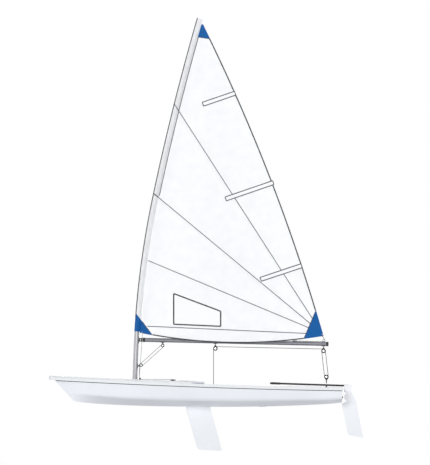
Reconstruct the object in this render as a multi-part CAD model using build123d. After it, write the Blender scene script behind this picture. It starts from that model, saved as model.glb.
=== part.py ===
from build123d import *
import os
from collections import namedtuple
from math import acos, asin, atan2, cos, degrees, hypot, radians, sin, sqrt, tan

# Single-handed sailing dinghy with an unstayed bending mast, a sleeve-luffed sail, a loose-footed
# boom, a sliding daggerboard and a lifting rudder, afloat at its design waterline.
# Millimetres. +X points aft, +Y to starboard, +Z up. The origin is amidships on the centreline,
# at the surface of the water.

# Hull and deck mouldings
hull_length = 4230.0
hull_beam = 1370.0
widest_x = 300.0
transom_beam = 1090.0
nose_length = 45.0
nose_width = 150.0
sheer_bow = 312.0
sheer_middle = 213.0
sheer_stern = 158.0
lip_height = 40.0
lip_overhang = 22.0
transom_inset = 12.0
transom_corner = 45.0
bow_crown = 20.0
foredeck_crown = 37.0
side_deck_crown = 7.0
aft_deck_crown = 14.0
side_deck_drop = 2.0
foredeck_end = -50.0
foredeck_step_run = 40.0
aft_deck_start = 1262.0
aft_deck_step_run = 30.0
stem_top_setback = 79.0
stem_foot_setback = 358.0
stem_foot_z = 5.0
stem_half_width = 9.0

# Cockpit
well_front = 165.0
well_back = 1240.0
well_front_width = 520.0
well_back_width = 640.0
well_corner = 90.0
well_floor = 45.0
well_draft = 14.0
tub_wall = 8.0
plinth_length = 170.0
plinth_width = 190.0
plinth_top = 122.0
plinth_draft = 8.0
plinth_margin = 60.0
strap_width = 50.0
strap_thickness = 4.0
strap_height = 150.0
strap_lead = 16.0

# Daggerboard and its case
board_rake = 15.2
board_chord = 340.0
board_thickness = 25.0
board_edge = 4.0
board_nose_x = -144.0
board_mark_z = -88.0
board_tip_z = -700.0
board_tip_round = 70.0
board_tip_slope = 16.0
board_up = 420.0
board_down = 730.0
board_clearance = 5.0
case_wall = 6.0
case_rim = 16.0
trough_floor = 262.0
trough_ahead = 150.0
trough_back = 200.0
head_width = 64.0
head_length = 376.0
head_overhang = 14.0
head_front_top = 300.0
head_crest = 304.0
head_crest_run = 60.0
head_back_top = 284.0
head_hole = 9.0
rest_gap = 0.3

# Spars
mast_foot_x = -891.5
mast_foot_z = -20.0
mast_rake = 2.07
lower_mast_diameter = 70.0
upper_mast_diameter = 56.0
spar_wall = 3.0
mast_straight = 720.0
lower_bend_length = 2240.0
lower_bend = 9.8
upper_bend = 4.2
mast_top_z = 5510.0
mast_joint = 2560.0
mast_lap = 300.0
collar_length = 60.0
step_wall = 5.0
step_gap = 0.5
step_rim = 14.0
step_rim_height = 30.0
step_stand = 37.0
boom_diameter = 60.0
boom_front_x = -757.0
boom_back_x = 1899.0
boom_front_z = 887.0
boom_back_z = 827.0
boom_cap = 8.0
boom_plug = 35.0
gooseneck_pin_x = -782.0
gooseneck_pin = 5.0
gooseneck_height = 52.0
gooseneck_gap = 9.0

# Sail
sleeve_wall = 1.5
sleeve_gap = 0.4
sleeve_tail = 52.0
sleeve_lap = 8.0
sleeve_foot_z = 1008.0
sail_thickness = 3.0
sail_camber = 0.07
sail_twist = 80.0
head_x = 92.0
head_z = 5447.0
clew_x = 1836.0
clew_z = 943.0
tack_x = -822.0
tack_z = 990.0
leech_roach = 110.0
foot_roach = 124.0
seam_gap = 0.3
pocket_width = 58.0
pocket_stand = 2.0

# Rudder, tiller and extension
pintle_setback = 32.0
pintle_radius = 5.0
pintle_gap = 0.05
pintle_ear = 12.0
pintle_play = 1.0
gudgeon_high = 128.0
gudgeon_low = 22.0
gudgeon_height = 16.0
gudgeon_width = 26.0
rudder_head_lead = 16.0
rudder_head_length = 106.0
rudder_head_top = 237.0
rudder_head_foot = 2.0
blade_bolt_setback = 49.0
blade_bolt_z = 70.0
blade_thickness = 18.0
blade_gap = 1.0
cheek_thickness = 6.0
blade_boss = 40.0
rudder_web_z = 180.0
bolt_radius = 6.0
bolt_head = 6.0
tiller_diameter = 26.0
tiller_reach = 1068.0
tiller_front_z = 263.0
tiller_back_z = 225.0
grip_length = 130.0
grip_diameter = 32.0
extension_diameter = 17.0
extension_length = 1010.0
extension_offset = 27.0

# Tackle: rope and pulley sizes, and where each pulley's axle is
Pulley = namedtuple("Pulley", "pitch rope flange cheek width")
sheet_pulley = Pulley(pitch=27.0, rope=8.0, flange=29.0, cheek=33.0, width=12.0)
vang_pulley = Pulley(pitch=20.0, rope=6.0, flange=22.0, cheek=25.0, width=9.0)
traveller_pulley = Pulley(pitch=13.0, rope=6.0, flange=15.0, cheek=17.0, width=9.0)
cheek_plate = 3.0
axle_radius = 4.0
axle_gap = 0.05
side_play = 0.6
boom_end_x = 1835.0
boom_end_z = 728.0
boom_middle_x = 279.0
boom_middle_z = 763.0
traveller_setback = 238.0
traveller_z = 354.0
traveller_low_z = 286.0
ratchet_z = 186.0
fairlead_y = 500.0
fairlead_height = 30.0
vang_mast_x = -791.0
vang_mast_z = 524.0
vang_boom_x = -479.0
vang_boom_z = 804.0
becket_bar = 5.0
clew_block_x = 1841.0
clew_pulley = Pulley(pitch=14.0, rope=5.0, flange=16.0, cheek=19.0, width=9.0)

# Small fittings
bow_eye_setback = 201.0
bow_eye_bore = 6.5
bow_eye_width = 8.0
cleat_plate_front = -374.0
cleat_plate_back = -300.0
cleat_plate_width = 150.0
cleat_plate_stand = 4.0
cleat_count = 4
cleat_height = 15.0
cleat_length = 52.0
cleat_width = 17.0
cleat_groove = 6.0
plug_y = 250.0
plug_z = 62.0
plug_radius = 19.0

bow_x = -hull_length / 2
stern_x = hull_length / 2
half_beam = hull_beam / 2
mast_radius = lower_mast_diameter / 2
boom_radius = boom_diameter / 2
stem_top_x = bow_x + stem_top_setback
stem_foot_x = bow_x + stem_foot_setback
transom_x = stern_x - transom_inset
traveller_x = stern_x - traveller_setback
pintle_x = stern_x + pintle_setback
rudder_head_front = pintle_x - rudder_head_lead
rudder_head_back = rudder_head_front + rudder_head_length
blade_bolt_x = pintle_x + blade_bolt_setback
tiller_front_x = pintle_x - tiller_reach
upward = (Align.CENTER, Align.CENTER, Align.MIN)


def side_face(points):
    """A face in the centre plane from x, z corners."""
    return make_face(Plane.XZ * Polyline(*points, close=True))


def side_prism(points, half_width):
    """The x, z outline made as wide as given on each side of the centre plane."""
    return extrude(side_face(points), half_width, both=True)


def rod(start, end, radius):
    """A round bar between two points."""
    axis = Vector(*end) - Vector(*start)
    return Plane(origin=start, z_dir=axis) * Cylinder(radius, axis.length, align=upward)


def rope(path, diameter):
    """A round line swept along a path of lines and tangent arcs."""
    return sweep(Plane(origin=path @ 0, z_dir=path % 0) * Circle(diameter / 2), path=path)


def block_between(low, high):
    """A box from its lowest to its highest corner."""
    size = [b - a for a, b in zip(low, high)]
    centre = [(a + b) / 2 for a, b in zip(low, high)]
    return Pos(*centre) * Box(*size)


# Lines of the boat

fore_rise = half_beam - nose_width / 2
fore_run = widest_x - (bow_x + nose_length)
fore_radius = (fore_run**2 + fore_rise**2) / (2 * fore_rise)
aft_rise = half_beam - transom_beam / 2
aft_radius = ((stern_x - widest_x) ** 2 + aft_rise**2) / (2 * aft_rise)


def rim(x):
    """Half the width of the deck's outer edge at x."""
    radius = fore_radius if x < widest_x else aft_radius
    return half_beam - radius + sqrt(radius**2 - (x - widest_x) ** 2)


def circle_through(start, end, sag):
    """Centre and radius of the arc from start to end that bulges by sag to the left of the way."""
    run, rise = end[0] - start[0], end[1] - start[1]
    chord = hypot(run, rise)
    radius = (chord**2 / 4 + sag**2) / (2 * sag)
    back = (radius - sag) / chord
    return (start[0] + end[0]) / 2 + rise * back, (start[1] + end[1]) / 2 - run * back, radius


sheer_sag = (sheer_bow + sheer_stern) / 2 - sheer_middle
sheer_cx, sheer_cz, sheer_radius = circle_through((stern_x, sheer_stern), (bow_x, sheer_bow), sheer_sag)


def sheer(x):
    """Height of the joint between the hull and the deck."""
    return sheer_cz - sqrt(sheer_radius**2 - (x - sheer_cx) ** 2)


def sheer_arc(start_x, end_x, lift):
    """The joint line between two places, lifted by a height."""
    middle_x = (start_x + end_x) / 2
    points = [(x, sheer(x) + lift) for x in (start_x, middle_x, end_x)]
    return Plane.XZ * ThreePointArc(*points)


def above_sheer():
    """All the space over the joint line, in which the deck lies."""
    reach, top = 200.0, 800.0
    front, back = bow_x - reach, stern_x + reach
    arc = sheer_arc(front, back, 0.0)
    lines = Plane.XZ * Polyline((back, sheer(back)), (back, top), (front, top), (front, sheer(front)))
    return extrude(make_face(arc.edges() + lines.edges()), hull_beam, both=True)


def plan_prism():
    """The deck seen from above, as a tall block."""
    nose = (bow_x + nose_length, nose_width / 2)
    fore = ((nose[0] + widest_x) / 2, rim((nose[0] + widest_x) / 2))
    wide = (widest_x, half_beam)
    aft = ((widest_x + stern_x) / 2, rim((widest_x + stern_x) / 2))
    corner = (stern_x, transom_beam / 2)

    def flip(point):
        return point[0], -point[1]

    outline = ThreePointArc(flip(nose), (bow_x, 0.0), nose)
    outline += ThreePointArc(nose, fore, wide) + ThreePointArc(wide, aft, corner)
    outline += Line(corner, flip(corner))
    outline += ThreePointArc(flip(corner), flip(aft), flip(wide))
    outline += ThreePointArc(flip(wide), flip(fore), flip(nose))
    block = extrude(make_face(outline), 800.0, dir=(0, 0, 1))
    stern_edges = block.edges().filter_by(Axis.Z).sort_by(Axis.X)[-2:]
    return fillet(stern_edges, transom_corner)


def crown_section(x, crown, drop):
    """A slice of the deck at x: a low arch between the lip's top edges, and a level brim outside."""
    half = rim(x)
    edge = sheer(x) + lip_height - drop
    wide = half + 90.0
    base = edge - 150.0
    outline = ThreePointArc((-half, edge), (0.0, edge + crown), (half, edge))
    outline += Polyline((half, edge), (wide, edge), (wide, base), (-wide, base), (-wide, edge), (-half, edge))
    return Plane(origin=(x, 0, 0), x_dir=(0, 1, 0), z_dir=(1, 0, 0)) * make_face(outline)


def deck_band(stations, drop=0.0):
    """A stretch of deck lofted through x, crown pairs."""
    return loft([crown_section(x, crown, drop) for x, crown in stations])


def hull_section(x, keel, bilge, bilge_z, turn):
    """A slice of the hull at x: rising bottom, round bilge, flared side, flat top over the joint."""
    half = rim(x) - lip_overhang
    top = sheer(x) + 30.0
    side_lean = (half - bilge) / (sheer(x) - bilge_z)
    high = (half + side_lean * (top - sheer(x)), top)
    plane = Plane(origin=(x, 0, 0), x_dir=(0, 1, 0), z_dir=(1, 0, 0))
    return plane * hull_outline(keel, (bilge, bilge_z), high, turn)


def hull_outline(keel, bilge, high, turn):
    """The closed outline through the keel, the rounded bilge corner and the top edge, both sides alike."""
    low = (0.0, keel)
    to_keel = Vector(low[0] - bilge[0], low[1] - bilge[1]).normalized()
    to_top = Vector(high[0] - bilge[0], high[1] - bilge[1]).normalized()
    corner = Vector(*bilge)
    half_turn = radians(to_keel.get_angle(to_top)) / 2
    leg = turn / tan(half_turn)
    first = corner + to_keel * leg
    last = corner + to_top * leg
    inward = (to_keel + to_top).normalized()
    nearest = corner + inward * (turn / sin(half_turn) - turn)
    right = [low, (first.X, first.Y), (nearest.X, nearest.Y), (last.X, last.Y), high]
    left = [(-y, z) for y, z in right]
    outline = Line(right[0], right[1]) + ThreePointArc(*right[1:4]) + Line(right[3], right[4])
    outline += Line(right[4], left[4]) + Line(left[4], left[3])
    outline += ThreePointArc(left[3], left[2], left[1]) + Line(left[1], left[0])
    return make_face(outline)


def stem_section():
    """The narrow slice that lies along the raked stem."""
    run, rise = stem_top_x - stem_foot_x, sheer(stem_top_x) - stem_foot_z
    reach = 40.0
    height = hypot(run, rise) + reach
    slope = Vector(run, 0, rise).normalized()
    plane = Plane(origin=(stem_foot_x, 0, stem_foot_z), x_dir=(0, 1, 0), z_dir=Vector(0, 1, 0).cross(slope))
    bilge = (stem_half_width * 0.7, height * 0.3)
    return plane * hull_outline(0.0, bilge, (stem_half_width * 1.6, height), height * 0.1)


# x, keel height, bilge corner's half width, its height and the turn's radius, from the bow aft
hull_table = [
    (bow_x + 565.0, -22.0, 190.0, 98.0, 70.0),
    (bow_x + 965.0, -48.0, 332.0, 58.0, 105.0),
    (bow_x + 1515.0, -67.0, 458.0, 27.0, 140.0),
    (bow_x / 2 + 1157.5, -76.0, 528.0, 6.0, 160.0),
    (stern_x - 1315.0, -74.0, 530.0, 2.0, 150.0),
    (stern_x - 615.0, -55.0, 500.0, 12.0, 120.0),
    (transom_x, -14.0, 455.0, 34.0, 90.0),
]


# x and rise of the foredeck's middle over its edges, from the bow aft
fore_deck_table = [
    (bow_x - 10.0, bow_crown),
    (bow_x + 165.0, 21.0),
    (bow_x + 515.0, 24.0),
    (bow_x + 1015.0, 28.0),
    (bow_x + 1515.0, 32.0),
    (foredeck_end + 100.0, foredeck_crown),
]


def well_outline(grow):
    """The cockpit seen from above at the deck, wider by a margin all round."""
    corners = [
        (well_front - grow, -well_front_width / 2 - grow),
        (well_back + grow, -well_back_width / 2 - grow),
        (well_back + grow, well_back_width / 2 + grow),
        (well_front - grow, well_front_width / 2 + grow),
    ]
    face = make_face(Polyline(*corners, close=True))
    return fillet(face.vertices(), well_corner + grow)


def well_top():
    """A height clear over the deck at the cockpit, at which the cockpit's plan is drawn."""
    return sheer(well_front) + lip_height + 60.0


def well(grow):
    """The cockpit's hollow, or with a wall's thickness all round, the outside of its tub."""
    top = well_top()
    floor = well_floor - grow
    return extrude(Pos(0, 0, top) * well_outline(grow), floor - top, dir=(0, 0, 1), taper=well_draft)


def board_frame(depth):
    """The plane square to the board's slide, at a depth below its mark. Its x runs along the chord."""
    rake = radians(board_rake)
    down = Vector(sin(rake), 0, -cos(rake))
    nose = Vector(board_nose_x, 0, board_mark_z) + down * depth
    return Plane(origin=nose, x_dir=(cos(rake), 0, sin(rake)), z_dir=down)


def board_slot(grow, start, end):
    """The board's foil block or, with a margin, the slot round it, between two depths."""
    half = board_thickness / 2 + grow
    first, last = -grow, board_chord + grow
    face = make_face(Polyline((first, -half), (last, -half), (last, half), (first, half), close=True))
    rounded = fillet(face.vertices(), half * 0.9)
    return extrude(board_frame(start) * rounded, end - start)


def mouldings():
    """The hull, the deck with its cockpit tub, and the daggerboard case between them."""
    lofted = loft([stem_section()] + [hull_section(*row) for row in hull_table])
    over = above_sheer()
    body = lofted - over

    fore = deck_band(fore_deck_table)
    flat_stations = (foredeck_end - 60.0, 500.0, aft_deck_start + 100.0)
    flat = deck_band([(x, side_deck_crown) for x in flat_stations], side_deck_drop)
    aft = deck_band([(aft_deck_start - 120.0, aft_deck_crown), (stern_x + 10.0, aft_deck_crown * 0.7)])
    step_z = sheer(foredeck_end) + lip_height
    rise_z = sheer(aft_deck_start) + lip_height
    tall, margin = 300.0, 50.0
    lean = foredeck_step_run / foredeck_crown
    aft_lean = aft_deck_step_run / aft_deck_crown
    ahead = side_prism(
        [
            (bow_x - margin, 0.0),
            (foredeck_end + lean * step_z, 0.0),
            (foredeck_end - lean * tall, step_z + tall),
            (bow_x - margin, step_z + tall),
        ],
        hull_beam,
    )
    behind = side_prism(
        [
            (aft_deck_start - aft_lean * 20.0, rise_z - 20.0),
            (aft_deck_start + aft_lean * tall, rise_z + tall),
            (stern_x + margin, rise_z + tall),
            (stern_x + margin, 0.0),
            (aft_deck_start - aft_lean * 20.0, 0.0),
        ],
        hull_beam,
    )
    room = plan_prism() & over
    slab = ((fore & ahead) & room) + (((flat - ahead) - behind) & room) + ((aft & behind) & room)

    plinth_x = well_front + plinth_length / 2
    plinth_plan = Rectangle(plinth_length + plinth_margin, plinth_width + plinth_margin / 2)
    plinth_face = fillet(plinth_plan.vertices(), plinth_margin / 2)
    plinth_low = Pos(plinth_x, 0, well_floor - tub_wall)
    plinth = extrude(plinth_low * plinth_face, plinth_top - well_floor + tub_wall, taper=plinth_draft)
    hollow = well(0.0) - plinth
    trough_side = head_width / 2 + board_clearance
    trough_low = (board_nose_x - trough_ahead, -trough_side, trough_floor)
    trough = block_between(trough_low, (foredeck_end + trough_back, trough_side, 500.0))
    case_outside = board_slot(board_clearance + case_wall, -board_up, 120.0)
    case_inside = board_slot(board_clearance, -board_up - 40.0, 160.0)
    step_outside = mast_step_outside()
    deck = (slab + (well(tub_wall) - over)) - hollow - trough - case_outside - step_outside
    hull = body - well(tub_wall) - case_outside - step_outside
    envelope = (slab - trough) + body
    case = (case_outside & envelope) - case_inside
    return hull, deck, case


def mast_station(length):
    """Centre and lean of the mast at a length along it from its foot: a straight, then two bends."""
    bends = [(lower_bend_length, radians(lower_bend)), (upper_bend_length, radians(upper_bend))]
    parts = [(mast_straight, 0.0)] + bends
    x, z, lean = mast_foot_x, mast_foot_z, radians(mast_rake)
    left = length
    for number, (run, turn) in enumerate(parts):
        here = left if number == len(parts) - 1 else min(left, run)
        if turn == 0.0:
            x += here * sin(lean)
            z += here * cos(lean)
        else:
            radius = run / turn
            after = lean + here / radius
            x += radius * (cos(lean) - cos(after))
            z += radius * (sin(after) - sin(lean))
            lean = after
        left -= here
        if left <= 0.0:
            break
    return x, z, lean


# The upper bend runs on until the mast reaches its height.
knee_lean = radians(mast_rake + lower_bend)
end_lean = knee_lean + radians(upper_bend)
lower_radius = lower_bend_length / radians(lower_bend)
straight_rise = mast_straight * cos(radians(mast_rake))
knee_z = mast_foot_z + straight_rise + lower_radius * (sin(knee_lean) - sin(radians(mast_rake)))
upper_bend_length = (mast_top_z - knee_z) * radians(upper_bend) / (sin(end_lean) - sin(knee_lean))
mast_length = mast_straight + lower_bend_length + upper_bend_length


def mast_length_at(height):
    """The length along the mast at which it reaches a height."""
    low, high = 0.0, mast_length * 1.02
    for _ in range(50):
        guess = (low + high) / 2
        if mast_station(guess)[1] < height:
            low = guess
        else:
            high = guess
    return low


def mast_at(height):
    """The mast's centre x and lean at a height."""
    x, _, lean = mast_station(mast_length_at(height))
    return x, lean


def mast_path(start, end):
    """The mast's centre line between two lengths, as a line and arcs."""
    knots = [0.0, mast_straight, mast_straight + lower_bend_length, mast_length]
    stops = [start] + [k for k in knots if start < k < end] + [end]
    edges = []
    for a, b in zip(stops, stops[1:]):
        points = [mast_station(s)[:2] for s in (a, (a + b) / 2, b)]
        straight = b <= mast_straight
        edges.append(Plane.XZ * (Line(points[0], points[2]) if straight else ThreePointArc(*points)))
    return Wire([edge.edge() for edge in edges])


def mast_frame(length):
    """The plane square to the mast. Its x points aft and its y to starboard."""
    x, z, lean = mast_station(length)
    return Plane(origin=(x, 0, z), x_dir=(cos(lean), 0, -sin(lean)), z_dir=(sin(lean), 0, cos(lean)))


def spar(start, end, radius, wall):
    """A tube that follows the mast's curve."""
    path = mast_path(start, end)
    ring = Circle(radius) - Circle(radius - wall)
    return sweep(mast_frame(start) * ring, path=path)


def upper_mast():
    """The thinner tube, its foot packed out by two collars to fit inside the lower one."""
    foot = mast_joint - mast_lap
    inside = mast_radius - spar_wall - rest_gap / 2
    tube = spar(foot, mast_length, upper_mast_diameter / 2, spar_wall)
    low = spar(foot, foot + collar_length, inside, inside - upper_mast_diameter / 2 + spar_wall)
    high = spar(mast_joint - collar_length, mast_joint, inside, inside - upper_mast_diameter / 2 + spar_wall)
    return tube + low + high


def mast_bar(start, end, radius):
    """A solid round bar on the mast's curve."""
    return sweep(mast_frame(start) * Circle(radius), path=mast_path(start, end))


step_radius = mast_radius + step_gap
deck_edge_at_mast = sheer(mast_foot_x) + lip_height
step_height = (deck_edge_at_mast + step_stand - mast_foot_z) / cos(radians(mast_rake))


def mast_step_outside():
    """The outside of the mast's socket: a cup with a collar on the deck."""
    foot = mast_frame(0.0)
    cup = Cylinder(step_radius + step_wall, step_height + step_wall, align=upward)
    collar = Cylinder(step_radius + step_rim, step_rim_height - rest_gap, align=upward)
    rounded = fillet(collar.edges().sort_by(Axis.Z)[-1], step_wall)
    cup = Pos(0, 0, -step_wall - rest_gap) * cup
    return foot * (cup + Pos(0, 0, step_height - step_rim_height) * rounded)


def mast_step():
    """The socket with its bore."""
    bore = mast_frame(0.0) * Pos(0, 0, -rest_gap) * Cylinder(step_radius, step_height + 20.0, align=upward)
    return mast_step_outside() - bore


def sleeve_outline(radius, tail, edge):
    """A teardrop: round in front of the mast, drawn together at the tail."""
    reach = hypot(tail, edge)
    touch = atan2(edge, tail) + acos(radius / reach)
    x, y = radius * cos(touch), radius * sin(touch)
    outline = ThreePointArc((x, y), (-radius, 0.0), (x, -y)) + Line((x, -y), (tail, -edge))
    outline += Line((tail, -edge), (tail, edge)) + Line((tail, edge), (x, y))
    return make_face(outline)


sleeve_inside = mast_radius + sleeve_gap
sleeve_outside = sleeve_inside + sleeve_wall


def sleeve_bar(start, end, radius, tail, edge):
    """The teardrop swept along the mast between two lengths."""
    path = mast_path(start, end)
    return sweep(mast_frame(start) * sleeve_outline(radius, tail, edge), path=path)


leech_cx, leech_cz, leech_radius = circle_through((clew_x, clew_z), (head_x, head_z), -leech_roach)
foot_cx, foot_cz, foot_radius = circle_through((tack_x, tack_z), (clew_x, clew_z), -foot_roach)


def leech(z):
    """The free edge's x at a height."""
    return leech_cx + sqrt(leech_radius**2 - (z - leech_cz) ** 2)


def sail_section(z, near, far):
    """A level slice of the cloth between two offsets from its middle surface, bellied to port."""
    mast_x, lean = mast_at(z)
    front = mast_x + (sleeve_tail - sleeve_lap) / cos(lean)
    back = max(leech(z), front + 6.0)
    share = (z - clew_z) / (head_z - clew_z)
    fall = -sail_twist * 4 * max(share, 0.0) * (1 - min(share, 1.0))
    belly = fall / 2 - sail_camber * (back - front)
    centre = (front + back) / 2

    def arc(offset):
        return [(front, offset), (centre, belly + offset), (back, fall + offset)]

    inner, outer = arc(near), arc(far)
    outline = ThreePointArc(*inner) + Line(inner[2], outer[2])
    outline += ThreePointArc(*outer[::-1]) + Line(outer[0], inner[0])
    return Pos(0, 0, z) * make_face(outline)


sail_reach = 500.0
sail_levels = [800.0, 1050.0, 1500.0, 2100.0, 2900.0, 3700.0, 4400.0, 5000.0, 5428.0]


def sail_sheet(near, far):
    """The cloth between two offsets from its middle surface, before its edges are cut."""
    return loft([sail_section(z, near, far) for z in sail_levels])


def below_foot():
    """All the space under the sail's loose foot."""
    end_z, reach = sail_levels[0] - 50.0, 300.0
    middle_x = (tack_x + clew_x) / 2
    low = (middle_x, foot_cz - sqrt(foot_radius**2 - (middle_x - foot_cx) ** 2))
    arc = ThreePointArc((tack_x, tack_z), low, (clew_x, clew_z))
    aft_side = [(clew_x, clew_z), (clew_x + reach, clew_z), (clew_x + reach, end_z)]
    fore_side = [(tack_x - reach, end_z), (tack_x - reach, tack_z), (tack_x, tack_z)]
    return extrude(make_face(Plane.XZ * (arc + Polyline(*aft_side, *fore_side))), sail_reach, both=True)


# Corners of the window, and of each batten's pocket, as x, z
window_corners = [(-321.0, 1553.0), (355.0, 1299.0), (355.0, 1082.0), (-321.0, 1112.0)]
pocket_ends = [
    ((100.0, 4278.0), (562.0, 4436.0)),
    ((428.0, 2915.0), (1112.0, 3150.0)),
    ((930.0, 1758.0), (1520.0, 1954.0)),
]
head_patch_line = [(-60.0, 5262.0), (29.0, 5245.0), (260.0, 5210.0)]
tack_patch_line = [(-940.0, 1366.0), (-866.0, 1273.0), (-632.0, 961.0), (-594.0, 910.0)]
clew_patch_line = [(1500.0, 786.0), (1551.0, 904.0), (1722.0, 1302.0), (1760.0, 1390.0)]


def patch_regions():
    """All the space at the head, tack and clew in which the cloth is a blue patch."""
    high, low, reach = 5700.0, 600.0, 400.0
    head = side_prism(head_patch_line + [(reach, high), (-reach, high)], sail_reach)
    tack_start, tack_end = tack_patch_line[0], tack_patch_line[-1]
    tack_ends = [(tack_end[0], low), (tack_start[0] - reach, low), (tack_start[0] - reach, tack_start[1])]
    clew_start, clew_end = clew_patch_line[0], clew_patch_line[-1]
    clew_ends = [(clew_x + reach, clew_end[1]), (clew_x + reach, low), (clew_start[0], low)]
    tack = side_prism(tack_patch_line + tack_ends, sail_reach)
    clew = side_prism(clew_patch_line + clew_ends, sail_reach)
    return head, tack, clew


def pocket_prism(inner, outer):
    """All the space beside a batten's pocket."""
    along = (Vector(*outer) - Vector(*inner)).normalized()
    across = Vector(-along.Y, along.X) * (pocket_width / 2)
    ends = [(inner, -1.0), (outer, -1.0), (outer, 1.0), (inner, 1.0)]
    corners = [Vector(*end) + across * hand for end, hand in ends]
    return side_prism([(c.X, c.Y) for c in corners], sail_reach)


def sail_pieces():
    """The cloth, its window, patches and batten pockets, and the sleeve that slips over the mast."""
    half = sail_thickness / 2
    start = mast_length_at(sleeve_foot_z)
    mast_end = mast_length + rest_gap
    sleeve_end = mast_end + sleeve_wall
    margin = 20.0
    keep_out = sleeve_bar(
        start - margin, sleeve_end + margin, sleeve_outside + seam_gap, sleeve_tail + seam_gap, half * 3.0
    )
    sheet = (sail_sheet(-half, half) - keep_out) - below_foot()
    sleeve = sleeve_bar(start, sleeve_end, sleeve_outside, sleeve_tail, half)
    sleeve -= sleeve_bar(start - 5.0, mast_end, sleeve_inside, sleeve_tail - 7.0, half * 0.4)
    head_region, tack_region, clew_region = patch_regions()
    window_region = side_prism(window_corners, sail_reach)
    pocket_regions = [pocket_prism(*ends) for ends in pocket_ends]
    cloth = sheet - head_region - tack_region - clew_region - window_region
    for region in pocket_regions:
        cloth -= region
    window = sheet & window_region
    head_patch = sheet & head_region
    clew_patch = sheet & clew_region
    tack_patch = (sheet & tack_region).solids() + (sleeve & tack_region).solids()
    sleeve = sleeve - tack_region
    cover = sail_sheet(-half - pocket_stand, half + pocket_stand)
    pockets = [(cover & region).solid() for region in pocket_regions]
    return {
        "sail_cloth": cloth,
        "sail_window": window,
        "sail_head_patch": head_patch,
        "sail_tack_patch": Compound(children=tack_patch),
        "sail_clew_patch": clew_patch,
        "luff_sleeve": sleeve,
        "batten_pockets": Compound(children=pockets),
    }


# Boom and its fittings

boom_slope = atan2(boom_back_z - boom_front_z, boom_back_x - boom_front_x)


def boom_at(x):
    """The boom's centre height at x."""
    return boom_front_z + (x - boom_front_x) * tan(boom_slope)


def boom():
    """The boom's tube."""
    start, end = (boom_front_x, 0, boom_front_z), (boom_back_x, 0, boom_back_z)
    reach = Vector(cos(boom_slope), 0, sin(boom_slope)) * 5.0
    inner = rod(Vector(*start) - reach, Vector(*end) + reach, boom_radius - spar_wall)
    return rod(start, end, boom_radius) - inner


def boom_caps():
    """The plugs in the boom's ends. The front one has the tongue that the gooseneck's pin goes through."""
    along = Vector(cos(boom_slope), 0, sin(boom_slope))
    start, end = Vector(boom_front_x, 0, boom_front_z), Vector(boom_back_x, 0, boom_back_z)
    inside = boom_radius - spar_wall
    back = rod(end - along * boom_plug, end, inside) + rod(end, end + along * boom_cap, boom_radius)
    front = rod(start, start + along * boom_plug, inside) + rod(start - along * boom_cap, start, boom_radius)
    half_width, half_height = 13.0, gooseneck_gap - 2.0
    tip_x, root_x = gooseneck_pin_x - half_width, boom_front_x - boom_cap / 2
    low, high = boom_front_z - half_height, boom_front_z + half_height
    tongue = block_between((gooseneck_pin_x, -half_width, low), (root_x, half_width, high))
    tongue += Pos(gooseneck_pin_x, 0, boom_front_z) * Cylinder(gooseneck_pin_x - tip_x, high - low)
    hole = Pos(gooseneck_pin_x, 0, boom_front_z) * Cylinder(gooseneck_pin + axle_gap, gooseneck_height)
    return Compound(children=[back.solid(), ((front + tongue) - hole).solid()])


def gooseneck():
    """The bracket on the mast with two ears and an upright pin."""
    mast_x, _ = mast_at(boom_front_z)
    half_width, half_height = 14.0, gooseneck_height / 2
    plate_size = (18.0, 46.0, 96.0)
    slot_front = gooseneck_pin_x - half_width - 8.0
    low, high = boom_front_z - half_height, boom_front_z + half_height
    ears = block_between((mast_x, -half_width, low), (gooseneck_pin_x, half_width, high))
    ears += Pos(gooseneck_pin_x, 0, boom_front_z) * Cylinder(half_width, gooseneck_height)
    slot_low, slot_high = boom_front_z - gooseneck_gap, boom_front_z + gooseneck_gap
    slot = block_between((slot_front, -30.0, slot_low), (gooseneck_pin_x + 30.0, 30.0, slot_high))
    plate = Pos(mast_x + mast_radius - 6.0, 0, boom_front_z) * Box(*plate_size)
    plate = fillet(plate.edges().filter_by(Axis.X), 8.0)
    pin = Pos(gooseneck_pin_x, 0, boom_front_z) * Cylinder(gooseneck_pin, gooseneck_height + 10.0)
    solid_mast = mast_bar(300.0, 1300.0, mast_radius)
    return (ears - slot + plate - solid_mast) + pin


def pulley_frame(place, size, reach):
    """Two cheeks, their axle along the plane's z, and the bar at the head, along its y, that hangs them."""
    inner = size.width / 2 + side_play
    eye = size.cheek * 0.32
    cheek_face = make_hull((Circle(size.cheek) + Pos(0, reach) * Circle(eye)).edges())
    far = Pos(0, 0, inner) * extrude(cheek_face, cheek_plate)
    near = Pos(0, 0, -inner - cheek_plate) * extrude(cheek_face, cheek_plate)
    axle = Cylinder(axle_radius, 2 * (inner + cheek_plate))
    bar = Pos(0, reach, 0) * Cylinder(eye * 0.8, 2 * inner)
    return place * (far + near + axle + bar)


def sheave(place, size):
    """A grooved wheel on the axle."""
    groove_bottom = size.pitch - size.rope / 2 - 0.2
    wheel = Cylinder(size.flange, size.width)
    ring = Circle(size.flange + 10.0) - Circle(groove_bottom)
    groove = extrude(ring, size.rope * 0.56, both=True)
    bore = Cylinder(axle_radius + axle_gap, size.width + 2.0)
    return place * (wheel - groove - bore)


def upright(x, z, up=(0, 0, 1)):
    """A plane for a pulley whose axle runs athwart and whose head points up."""
    y_dir = Vector(*up).normalized()
    return Plane(origin=(x, 0, z), x_dir=y_dir.cross(Vector(0, 1, 0)), z_dir=(0, 1, 0))


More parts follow.
